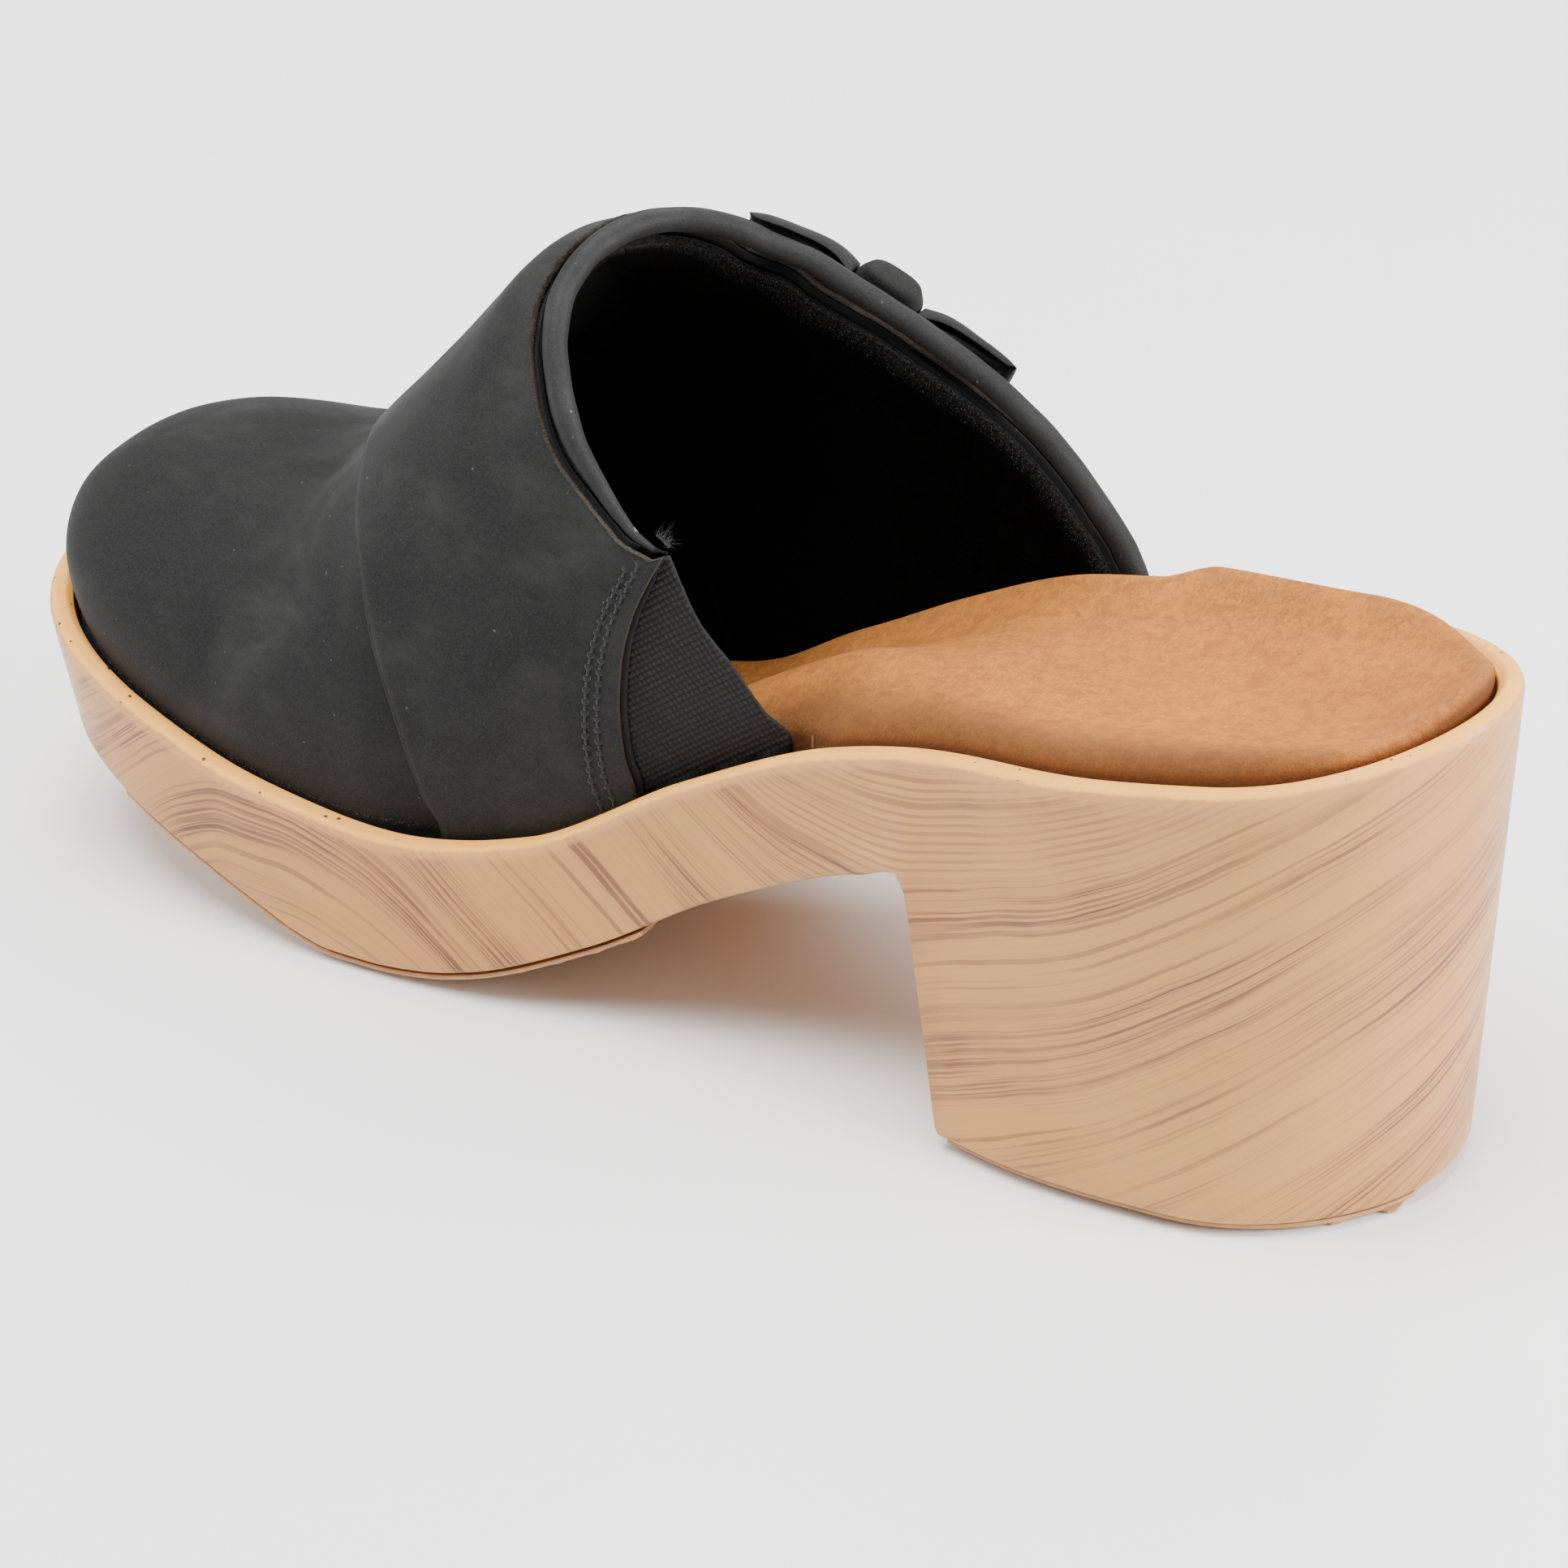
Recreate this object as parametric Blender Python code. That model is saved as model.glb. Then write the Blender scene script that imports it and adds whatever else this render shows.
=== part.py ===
"""Heeled clog mule for the right foot, built layer by layer.

A moulded wood-look unit sole with a block heel carries a cushioned footbed, a
nubuck vamp, an instep band, an elastic gore on the inner side and a bow on the
outer side.  +X points to the toe, +Y to the wearer's left (the inner side of
this shoe), +Z up.  The tables below are in millimetres, positions counted from
the back of the heel.
"""
import math

import bmesh
import bpy
import numpy as np

MM = 0.001
LENGTH = 256.5
HEEL_ROUND = 34.0
TOE_ROUND = 70.0
SIDE_SHIFT = 2.26

# plan of the sole: half width and centre line
WIDTH = [(0, 28), (30, 31.5), (60, 34.5), (85, 33), (110, 34), (134, 37), (159, 42.5),
         (184, 44.5), (209, 44.5), (256.5, 47)]
CENTRE = [(0, 0.5), (30, 1.5), (75, -0.5), (105, -3), (134, -3.2), (159, -2.8), (179, -2.5),
          (204, -1.5), (229, 1), (256.5, 5)]
# side view of the sole: top of the rim and lower edge of the wall
RIM = [(0, 85.2), (12, 81.2), (25, 77.9), (50, 72.7), (75, 68.2), (99.5, 60.2), (124, 47.2), (149, 31.6),
       (174, 26.6), (199, 29.1), (224, 35.1), (256.5, 43.4)]
LOWER = [(0, 2), (74.3, 2), (76.2, 12), (78.2, 24), (80.2, 36), (81.8, 43), (84, 45.4),
         (91, 42), (99, 38.2), (119, 27.2), (139, 13.8), (158.5, 5), (168, 2.7), (176, 2),
         (184, 2), (190, 3.2), (198.5, 6.4), (218.5, 13.4), (238.5, 19.4), (256.5, 23)]
RIM_WIDTH = 4.0
CUP_DEPTH = [(0, 9), (60, 9), (95, 13), (200, 13), (257, 11)]
TREAD_DROP = 2.0
HEEL_RAKE = 3.2
TOE_RAKE = 5.0
BREAST = 74.3
HEEL_FLARE = 2.6
ROLL = 1.8
FOOT_ROLL = 1.4
TOE_POWER = 2.4
HEEL_TREAD = [1.5, 6, 13, 22, 32, 42, 52, 62.5, 73]
FORE_TREAD = [130 + 10 * k for k in range(11)]
HEEL_TREAD_INSET = -1.0
FORE_TREAD_INSET = 1.0
HEEL_TREAD_ACROSS = 7
FORE_TREAD_ACROSS = 9

# hidden parts: heel insert, shank and fastenings
HEEL_MIDDLE = (44.0, 0.6)
CORE_LEVELS = ((12.0, 13.0, 12.0), (14.0, 14.5, 13.5))
CORE_TOP = (20.0, 17.0)
SHANK = (66.0, 148.0)
SHANK_HALF = 7.0
SHANK_DEPTH = (0.7, 2.3)
NAIL_SPOTS = ((32, 9), (32, -8), (56, 9), (56, -8))
RIVET_SPOTS = (78, 136)
# fastenings as (radius, height over the board's upper face), point first, and their holes
SCREW = [(1.2, -34), (2.1, -32), (2.1, -3.4), (3.6, -1.6), (3.6, -0.9)]
SCREW_HOLE = [(1.5, -34.6), (2.4, -32.2), (2.4, -3.3), (3.9, -1.5), (3.9, 2.0)]
NAIL = [(0.4, -21), (1.0, -19), (1.0, -1.9), (2.0, -1.5), (2.0, -0.9)]
NAIL_HOLE = [(0.7, -21.5), (1.3, -19.3), (1.3, -1.9), (2.3, -1.6), (2.3, 2.0)]
RIVET = [(1.5, -3.9), (1.5, -1.6)]
RIVET_HOLE = [(1.8, -6.5), (1.8, 2.0)]

# footbed: width of the border strip left free, and height above the rim
FREE_INNER = [(0, 4.5), (97, 4.6), (106, 8.4), (125, 9.4), (134, 10.4), (150, 11.8), (168, 11.8),
              (184, 10.2), (215, 10.6), (257, 11.6)]
FREE_OUTER = [(0, 4.5), (61.5, 4.5), (70.5, 9.9), (140, 10.3), (152, 11.8), (168, 11.8),
              (184, 10.2), (215, 10.6), (257, 11.6)]
RISE_PLACES = (-1.0, -0.5, 0.0, 0.45, 1.0)
RISE = [
    [(0, 6.5), (20, 6.4), (55, 6.4), (80, 6.2), (105, 2.2), (125, 0.5), (145, 0), (170, 0), (257, 0)],
    [(0, 2), (30, 1.2), (60, 1.5), (85, 2), (105, -1), (125, -2.5), (170, -1), (257, -1)],
    [(0, 1.5), (30, 0.3), (60, 1), (85, 3), (105, 3), (125, 1.5), (170, -1), (257, -1)],
    [(0, 2), (30, 1.2), (60, 2), (85, 5.5), (105, 8), (125, 7), (145, 3.5), (170, 0), (257, -1)],
    [(0, 6), (30, 4.6), (60, 4), (85, 4), (105, 4), (125, 3), (145, 1), (170, 0), (257, 0)],
]
COVER = 0.8
GAP = 0.3
BOARD = 2.2
LIP = 4.8
LIP_END = 20.0

# upper: distance inside the sole edge, height of the crest line, fullness
INSET = [(60, 6.3), (166, 6.3), (181, 4.5), (240, 4.5), (256.5, 4.7)]
CREST = [(60, 156), (90, 149), (110, 142), (130, 133.5), (150, 122.3), (159, 117.8), (165, 114.8),
         (171, 107.5), (178, 98.7), (184, 91.5), (191, 83.5), (197, 76.8), (202, 72.6), (214, 69),
         (228, 67.8), (256.5, 65.5)]
FULLNESS = [(60, 2.3), (150, 2.3), (175, 2.4), (200, 2.2), (222, 2.25), (245, 2.7), (257, 2.9)]
BULGE = 0.07
TOE_LEAN = 3.2
CLOSE = (4.4, 2.7)
UPPER_TIP = LENGTH - 4.6
TUCK = 6.0
TUCK_STEP = 0.05
TOE_START = 212.0
# edges of the upper over the arch, from the inner rim (0) to the outer rim (1)
GORE_CORNER = 0.131
TOPLINE = [(0.131, 128.5), (0.162, 134.5), (0.208, 140.5), (0.252, 145.5), (0.3, 149.6),
           (0.352, 153), (0.41, 155), (0.46, 155.2), (0.51, 154), (0.56, 151), (0.602, 147),
           (0.675, 139), (0.725, 131.5), (0.758, 126), (0.815, 114), (0.872, 101), (0.918, 90),
           (0.958, 81), (0.985, 75.5), (1.0, 73.5), (1.05, 73.5)]
GORE_FRONT = [(-0.05, 133.5), (0, 133.5), (0.022, 135), (0.048, 135.5), (0.075, 135),
              (0.1, 133.3), (0.118, 130.8), (0.131, 128.5)]
GORE_REAR = [(-0.05, 107.5), (0, 107.5), (0.018, 112), (0.05, 117.5), (0.082, 123), (0.131, 128.5)]
SEAM = [(-0.05, 165.5), (0, 165.5), (0.015, 168), (0.082, 173), (0.12, 175.5), (0.162, 177.8),
        (0.24, 182.5), (0.292, 185.6), (0.362, 189.5), (0.43, 194), (0.5, 197.5), (0.57, 194.5),
        (0.64, 189.5), (0.72, 185), (0.8, 180.5), (0.88, 175.5), (0.94, 171), (0.985, 166),
        (1, 163), (1.05, 163)]
UNDERLAP = 12.0
BINDING = 2.0
CORD = 0.95
CORNER_FADE = 0.16
CORNER_SHARE = 0.2
LEATHER = 1.3
BAND = (0.5, 1.8)
BAND_BACK = 4.8
LINING_BACK = 4.6
GORE_THICK = 1.0
PUFF = (-1.7, -2.4)
VAMP_LINING = (-3.2, -4.2)
QUARTER_LINING = (-2.0, -3.0)

# bow on the outer side of the instep
BOW_PLACE = 0.815
BOW_SET = 6.5
BOW_WIDTH = 22.0
BOW_THICK = 1.1
BOW_DROOP = 4.0
BOW_HEM = 1.9
BOW_UNDER = 0.82
KNOT = (5.9, 9.6, 3.0)
KNOT_LIFT = 3.7
BOW_LINE = [(6.3, 6.2), (9, 6.6), (13, 6.5), (17, 6.1), (20.5, 5.8), (22.8, 5.3), (24.0, 4.3),
            (23.8, 3.0), (22.2, 1.8), (19, 1.1), (14, 0.8), (9, 0.7), (6.3, 0.7)]


def curve(table, x):
    """Smooth curve through (position, value) pairs that never overshoots."""
    xs = np.array([p[0] for p in table], float)
    ys = np.array([p[1] for p in table], float)
    step = np.diff(xs)
    slope = np.diff(ys) / step
    lean = np.zeros(len(xs))
    lean[0] = slope[0]
    lean[-1] = slope[-1]
    for i in range(1, len(xs) - 1):
        if slope[i - 1] * slope[i] > 0:
            lean[i] = 2 * slope[i - 1] * slope[i] / (slope[i - 1] + slope[i])
    x = np.clip(np.asarray(x, float), xs[0], xs[-1])
    i = np.clip(np.searchsorted(xs, x, side="right") - 1, 0, len(step) - 1)
    t = (x - xs[i]) / step[i]
    low = (2 * t ** 3 - 3 * t ** 2 + 1) * ys[i] + (t ** 3 - 2 * t ** 2 + t) * step[i] * lean[i]
    high = (3 * t ** 2 - 2 * t ** 3) * ys[i + 1] + (t ** 3 - t ** 2) * step[i] * lean[i + 1]
    return low + high


def straight(table, x):
    """Broken line through (position, value) pairs."""
    return np.interp(x, [p[0] for p in table], [p[1] for p in table])


# ---------------------------------------------------------------- plain mesh helpers

def colour(red, green, blue):
    """Display colour 0..255 turned into linear values."""
    out = []
    for value in (red, green, blue):
        c = value / 255.0
        out.append(c / 12.92 if c <= 0.04045 else ((c + 0.055) / 1.055) ** 2.4)
    return (out[0], out[1], out[2], 1.0)


def material(name, rgb, roughness, metallic=0.0):
    """Principled material with its own name."""
    mat = bpy.data.materials.new(name)
    mat.use_nodes = True
    shader = mat.node_tree.nodes["Principled BSDF"]
    shader.inputs["Base Color"].default_value = colour(*rgb)
    shader.inputs["Roughness"].default_value = roughness
    shader.inputs["Metallic"].default_value = metallic
    mat.diffuse_color = colour(*rgb)
    return mat


def body(name, verts, faces, mat, smooth=True):
    """Named object from millimetre points, closed and turned outwards."""
    pts = np.array(verts, float)
    pts[:, 0] = pts[:, 0] - LENGTH / 2
    pts[:, 1] = pts[:, 1] + SIDE_SHIFT
    pts = pts * MM
    mesh = bpy.data.meshes.new(name)
    mesh.from_pydata([tuple(p) for p in pts], [], faces)
    bm = bmesh.new()
    bm.from_mesh(mesh)
    bmesh.ops.remove_doubles(bm, verts=bm.verts, dist=0.00001)
    bmesh.ops.triangulate(bm, faces=bm.faces)
    bmesh.ops.recalc_face_normals(bm, faces=bm.faces)
    if bm.calc_volume(signed=True) < 0:
        bmesh.ops.reverse_faces(bm, faces=bm.faces)
    for face in bm.faces:
        face.smooth = smooth
    bm.to_mesh(mesh)
    bm.free()
    mesh.materials.append(mat)
    obj = bpy.data.objects.new(name, mesh)
    bpy.context.scene.collection.objects.link(obj)
    return obj


def cutter(name, verts, faces, mat):
    """Hidden body that only cuts others."""
    obj = body(name, verts, faces, mat)
    obj.hide_render = True
    obj.display_type = "WIRE"
    return obj


def cut(obj, tool):
    """Takes the tool's volume out of the object."""
    mod = obj.modifiers.new("cut_" + tool.name, "BOOLEAN")
    mod.operation = "DIFFERENCE"
    mod.solver = "EXACT"
    mod.object = tool


def tube_faces(rows, cols, start=0, closed=True):
    """Quads between successive rows of points."""
    faces = []
    last = cols if closed else cols - 1
    for k in range(rows - 1):
        for j in range(last):
            a = start + k * cols + j
            b = start + k * cols + (j + 1) % cols
            faces.append((a, b, b + cols, a + cols))
    return faces


def column(sides, places, rings):
    """Round pieces standing at (s, y) places; rings are (radius, height) pairs."""
    verts = []
    faces = []
    for s, y, base in places:
        start = len(verts)
        for radius, height in rings:
            for k in range(sides):
                a = 2 * math.pi * k / sides
                verts.append((s + radius * math.cos(a), y + radius * math.sin(a), base + height))
        faces += tube_faces(len(rings), sides, start)
        faces.append(tuple(range(start, start + sides)))
        top = start + (len(rings) - 1) * sides
        faces.append(tuple(range(top, top + sides)))
    return verts, faces


# ---------------------------------------------------------------- sole and footbed

def half_width(s):
    """Half width of the sole, rounded off at both ends."""
    s = np.asarray(s, float)
    heel = np.clip(1 - s / HEEL_ROUND, 0, 1)
    toe = np.clip((s - LENGTH + TOE_ROUND) / TOE_ROUND, 0, 1)
    return curve(WIDTH, s) * np.sqrt(1 - heel ** 2) * np.sqrt(np.clip(1 - toe ** TOE_POWER, 0, 1))


def stations(heel_steps=8, toe_steps=10):
    """Positions along the sole, closer together round heel and toe."""
    heel = [HEEL_ROUND * (1 - math.cos(math.pi / 2 * k / heel_steps))
            for k in range(heel_steps + 1)]
    middle = [47, 60.5, 74.3, 76.2, 78.2, 80.2, 81.8, 84, 91, 100, 110, 120, 130, 140, 150,
              161, 174]
    toe = [LENGTH - TOE_ROUND * (1 - math.sin(math.pi / 2 * k / toe_steps) ** (1 / 1.2))
           for k in range(toe_steps + 1)]
    return np.array(heel + middle + toe)


def plan(places):
    """Closed outline points and inward directions: inner side out, outer side back."""
    side = np.concatenate([np.ones(len(places)), -np.ones(len(places) - 2)])
    s = np.concatenate([places, places[-2:0:-1]])
    y = curve(CENTRE, s) + side * half_width(s)
    ahead = np.stack([np.roll(s, -1) - np.roll(s, 1), np.roll(y, -1) - np.roll(y, 1)], 1)
    ahead = ahead / np.linalg.norm(ahead, axis=1)[:, None]
    inward = np.stack([ahead[:, 1], -ahead[:, 0]], 1)
    return s, y, side, inward


def ring(places, inset, height, by_station=False):
    """Outline moved inwards by inset, at the height given along the sole."""
    s, y, side, inward = plan(places)
    s2 = s + inset * inward[:, 0]
    y2 = y + inset * inward[:, 1]
    z = height(s if by_station else s2)
    return np.stack([s2, y2, z], 1)


def span(verts, faces, loop, count, across):
    """Fills a loop from side to side with rows of points, one row per station."""
    rows = []
    for i in range(count):
        if i in (0, count - 1):
            rows.append([loop[i]])
            continue
        left = np.array(verts[loop[i]], float)
        right = np.array(verts[loop[2 * count - 2 - i]], float)
        row = [loop[i]]
        for k in range(1, across):
            row.append(len(verts))
            verts.append(tuple(left + (right - left) * k / across))
        row.append(loop[2 * count - 2 - i])
        rows.append(row)
    for one, two in zip(rows[:-1], rows[1:]):
        for k in range(max(len(one), len(two)) - 1):
            if len(one) == 1:
                faces.append((one[0], two[k], two[k + 1]))
            elif len(two) == 1:
                faces.append((one[k], two[0], one[k + 1]))
            else:
                faces.append((one[k], two[k], two[k + 1], one[k + 1]))


def ring_body(rings, places, across):
    """Body lofted through outline rings and filled in at its first and last ring."""
    cols = len(rings[0])
    verts = [tuple(p) for one in rings for p in one]
    faces = tube_faces(len(rings), cols)
    for start in (0, (len(rings) - 1) * cols):
        span(verts, faces, list(range(start, start + cols)), len(places), across)
    return verts, faces


def rim(s):
    return curve(RIM, s)


def cup_floor(s):
    return curve(RIM, s) - curve(CUP_DEPTH, s)


def lower(s):
    return straight(LOWER, s)


def wall_ring(places, share, inset=0.0, drop=0.0):
    """Outer wall between rim (share 0) and lower edge (share 1), raked at both ends."""
    base = ring(places, inset, rim, True)
    s = plan(places)[0]
    top = rim(s) - ROLL
    base[:, 2] = top + (lower(s) + FOOT_ROLL - top) * share - drop
    heel = np.clip(1 - s / BREAST, 0, 1)
    toe = np.clip((s - LENGTH + TOE_ROUND) / TOE_ROUND, 0, 1)
    base[:, 0] += share * (HEEL_RAKE * heel - TOE_RAKE * toe)
    flare = HEEL_FLARE * share * np.clip((95 - s) / 15, 0, 1)
    base[:, 1] += flare * (base[:, 1] - curve(CENTRE, s)) / curve(WIDTH, s)
    return base


def sole_unit(mat):
    """Moulded platform and block heel with a cup on top."""
    places = stations()
    rings = [
        ring(places, 15.0, cup_floor),
        ring(places, RIM_WIDTH + 1.2, cup_floor),
        ring(places, RIM_WIDTH, lambda s: cup_floor(s) + 1.2),
        ring(places, RIM_WIDTH, lambda s: rim(s) - 0.6),
        ring(places, RIM_WIDTH - 0.5, rim),
        ring(places, 1.5, rim, True),
        ring(places, 0.5, lambda s: rim(s) - 0.5, True),
    ]
    for share in (0.0, 0.25, 0.5, 0.75, 1.0):
        rings.append(wall_ring(places, share))
    rings.append(wall_ring(places, 1.0, 0.5, 0.9))
    rings.append(wall_ring(places, 1.0, 2.0, FOOT_ROLL))
    verts, faces = ring_body(rings, places, 5)
    return body("sole_unit", verts, faces, mat)


def tread_rows(places, inset, across):
    """Grid of points on the underside, one row per position."""
    rows = []
    for s in places:
        half = float(half_width(s)) - inset
        rake = (HEEL_RAKE + 1.0) * max(0.0, 1 - s / BREAST)
        rake -= TOE_RAKE * max(0.0, (s - LENGTH + TOE_ROUND) / TOE_ROUND)
        for k in range(across + 1):
            y = float(curve(CENTRE, s)) + half * (1 - 2 * k / across)
            rows.append((s + rake, y, float(lower(s))))
    return rows


def border(rows, cols):
    """Indices round the edge of a grid."""
    edge = list(range(cols))
    edge += [i * cols + cols - 1 for i in range(1, rows)]
    edge += [(rows - 1) * cols + k for k in range(cols - 2, -1, -1)]
    edge += [i * cols for i in range(rows - 2, 0, -1)]
    return edge


def lug(verts, faces, corners):
    """Tapered block standing down from one cell of the grid."""
    middle = np.mean([verts[c] for c in corners], axis=0)
    loops = [corners]
    for share, drop in ((0.86, 0.0), (0.78, TREAD_DROP * 0.45)):
        loop = []
        for c in corners:
            p = np.array(verts[c])
            q = middle + (p - middle) * share
            loop.append(len(verts))
            verts.append((q[0], q[1], p[2] - drop))
        loops.append(loop)
    for one, two in zip(loops[:-1], loops[1:]):
        for j in range(4):
            n = (j + 1) % 4
            faces.append((one[j], one[n], two[n], two[j]))
    faces.append(tuple(loops[-1]))


def tread(name, places, inset, across, mat):
    """Thin rubber plate under the sole with every other cell drawn down as a lug."""
    grid = tread_rows(places, inset, across)
    verts = [(p[0], p[1], p[2] - GAP) for p in grid]
    verts += [(p[0], p[1], p[2] - TREAD_DROP * 0.55) for p in grid]
    cols = across + 1
    size = len(grid)
    faces = []
    for i in range(len(places) - 1):
        for k in range(across):
            a = i * cols + k
            cell = [a, a + 1, a + 1 + cols, a + cols]
            faces.append(tuple(cell))
            under = [c + size for c in cell]
            if (i + k) % 2:
                lug(verts, faces, under)
            else:
                faces.append(tuple(under))
    edge = border(len(places), cols)
    for j, a in enumerate(edge):
        b = edge[(j + 1) % len(edge)]
        faces.append((a, b, b + size, a + size))
    return body(name, verts, faces, mat, smooth=False)


def heel_core_shape(grow):
    """Tapered block inside the heel; grow adds the clearance of its pocket."""
    verts = []
    sides = 24
    over = 1.5 if grow else 0.0
    for level in range(3):
        for k in range(sides):
            a = 2 * math.pi * k / sides
            c = math.copysign(abs(math.cos(a)) ** 0.6, math.cos(a))
            d = math.copysign(abs(math.sin(a)) ** 0.6, math.sin(a))
            half_s, half_y = CORE_TOP if level == 2 else CORE_LEVELS[level][1:]
            s = HEEL_MIDDLE[0] + (half_s + grow) * c
            y = HEEL_MIDDLE[1] + (half_y + grow) * d
            if level == 2:
                z = float(cup_floor(s)) - GAP + over
            else:
                z = CORE_LEVELS[level][0] - grow
            verts.append((s, y, z))
    faces = tube_faces(3, sides)
    faces += [tuple(range(sides)), tuple(range(2 * sides, 3 * sides))]
    return verts, faces


def strip_shape(grow, top):
    """Long strip following the cup floor, used for the shank and its slot."""
    verts = []
    count = 22
    for s in np.linspace(SHANK[0] - grow, SHANK[1] + grow, count):
        centre = float(curve(CENTRE, s))
        wide = SHANK_HALF + grow
        high = float(cup_floor(s)) + top
        low = float(cup_floor(s)) - SHANK_DEPTH[1] - grow
        verts += [(s, centre - wide, low), (s, centre + wide, low),
                  (s, centre + wide, high), (s, centre - wide, high)]
    faces = tube_faces(count, 4)
    faces += [(0, 1, 2, 3), tuple(range(4 * count - 4, 4 * count))]
    return verts, faces


def insole_board(mat):
    """Stiff board lying on the cup floor."""
    places = stations(6, 8)
    low = [ring(places, 12.0, lambda s: cup_floor(s) + GAP),
           ring(places, RIM_WIDTH + 1.4, lambda s: cup_floor(s) + GAP)]
    high = [ring(places, RIM_WIDTH + 0.4, lambda s: cup_floor(s) + GAP + 1.2),
            ring(places, RIM_WIDTH + 0.4, lambda s: cup_floor(s) + GAP + BOARD),
            ring(places, 12.0, lambda s: cup_floor(s) + GAP + BOARD)]
    verts, faces = ring_body(low + high, places, 3)
    return body("insole_board", verts, faces, mat)


def footbed_ring(places, shrink, lift, level):
    """Border ring of the footbed; level 'floor' stands on the board, else on the top."""
    s, y, side, inward = plan(places)
    free = np.where(side > 0, curve(FREE_INNER, s), curve(FREE_OUTER, s)) + shrink
    s2 = s + free * inward[:, 0]
    y2 = y + free * inward[:, 1]
    if level == "floor":
        z = cup_floor(s2) + lift
    else:
        z = footbed_top(s2, y2) + lift
    return np.stack([s2, y2, z], 1)


def footbed_top(s, y):
    """Height of the footbed surface: heel cup, arch support, flatter forepart."""
    s = np.asarray(s, float)
    y = np.asarray(y, float)
    shape = s.shape
    s = s.ravel()
    y = y.ravel()
    free = np.where(y > curve(CENTRE, s), curve(FREE_INNER, s), curve(FREE_OUTER, s))
    half = np.maximum(curve(WIDTH, s) - free, 5.0)
    q = np.clip((y - curve(CENTRE, s)) / half, -1, 1)
    lines = np.array([curve(table, s) for table in RISE])
    out = np.empty(len(s))
    for i in range(len(s)):
        out[i] = curve(list(zip(RISE_PLACES, lines[:, i])), q[i])
    lip = LIP * np.clip((LIP_END - s) / 15.0, 0, 1) ** 2 * (1 - q * q)
    return (rim(s) + out + lip).reshape(shape)


def footbed_cap(places, depth):
    """Rings of the rounded top surface, depth below the outer skin."""
    rings = [footbed_ring(places, depth + 2.6, -depth, "top"),
             footbed_ring(places, depth + 0.8, -0.7 - depth, "top"),
             footbed_ring(places, depth, -2.4 - depth, "top")]
    return rings


def span_top(verts, faces, loop, count, across, depth):
    """Fills a loop with rows that follow the footbed surface."""
    start = len(verts)
    span(verts, faces, loop, count, across)
    for i in range(start, len(verts)):
        p = verts[i]
        z = float(footbed_top(np.array([p[0]]), np.array([p[1]]))[0]) - depth
        verts[i] = (p[0], p[1], z)


def footbed_body(name, rings, places, across, first_depth, last_depth, mat):
    """Body lofted through footbed rings; a depth of None means a flat fill."""
    cols = len(rings[0])
    verts = [tuple(p) for one in rings for p in one]
    faces = tube_faces(len(rings), cols)
    ends = ((0, first_depth), ((len(rings) - 1) * cols, last_depth))
    for start, depth in ends:
        loop = list(range(start, start + cols))
        if depth is None:
            span(verts, faces, loop, len(places), 2)
        else:
            span_top(verts, faces, loop, len(places), across, depth)
    return body(name, verts, faces, mat)


def footbed(foam_mat, cover_mat):
    """Foam cushion and the suede cover wrapped over its edge."""
    places = stations(6, 8)
    inner = COVER + GAP
    floor = GAP + BOARD + GAP
    rings = footbed_cap(places, inner)
    rings.append(footbed_ring(places, inner, floor, "floor"))
    rings.append(footbed_ring(places, 9.0, floor, "floor"))
    foam = footbed_body("footbed_foam", rings, places, 6, inner, None, foam_mat)
    under = footbed_cap(places, COVER)
    over = footbed_cap(places, 0.0)
    rings = under + [footbed_ring(places, COVER, floor, "floor"),
                     footbed_ring(places, 0.0, floor, "floor")] + over[::-1]
    cover = footbed_body("footbed_cover", rings, places, 6, COVER, 0.0, cover_mat)
    return foam, cover


# ---------------------------------------------------------------- upper surface

def crest(s):
    """Height of the ridge of the upper, closing down steeply over the toe."""
    t = np.clip((s - 208.0) / (UPPER_TIP - 208.0), 0, 1)
    fall = np.clip(1 - t ** CLOSE[0], 0, 1) ** (1 / CLOSE[1])
    return rim(s) + (curve(CREST, s) - rim(s)) * fall


def upper_half(s):
    """Half width of the upper at rim height."""
    t = np.clip((s - LENGTH + TOE_ROUND) / (UPPER_TIP - LENGTH + TOE_ROUND), 0, 1)
    return (curve(WIDTH, s) - curve(INSET, s)) * np.sqrt(np.clip(1 - t ** TOE_POWER, 0, 1))


def skin(s, v):
    """Point of the upper's base surface at position s and place v over the arch."""
    s = np.asarray(s, float)
    inside = np.clip(v, 0, 1)
    a = math.pi * inside
    power = 2.0 / curve(FULLNESS, s)
    c = np.cos(a)
    share = np.clip(np.sin(a), 0, 1) ** power
    out = np.sign(c) * np.abs(c) ** power
    swell = 1 + BULGE * 4 * share * (1 - share)
    y = curve(CENTRE, s) + upper_half(s) * out * swell
    z = rim(s) + (crest(s) - rim(s)) * share
    tuck = np.maximum(-v, np.maximum(v - 1, 0)) * TUCK / TUCK_STEP
    front = np.clip((s - TOE_START) / (UPPER_TIP - TOE_START), 0, 1)
    high = np.clip((z - rim(s)) / 20.0, 0, 1)
    lean = TOE_LEAN * front * front * (3 - 2 * front) * np.sin(high * math.pi / 2)
    return np.stack([s + lean, y, z - tuck], -1)


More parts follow.
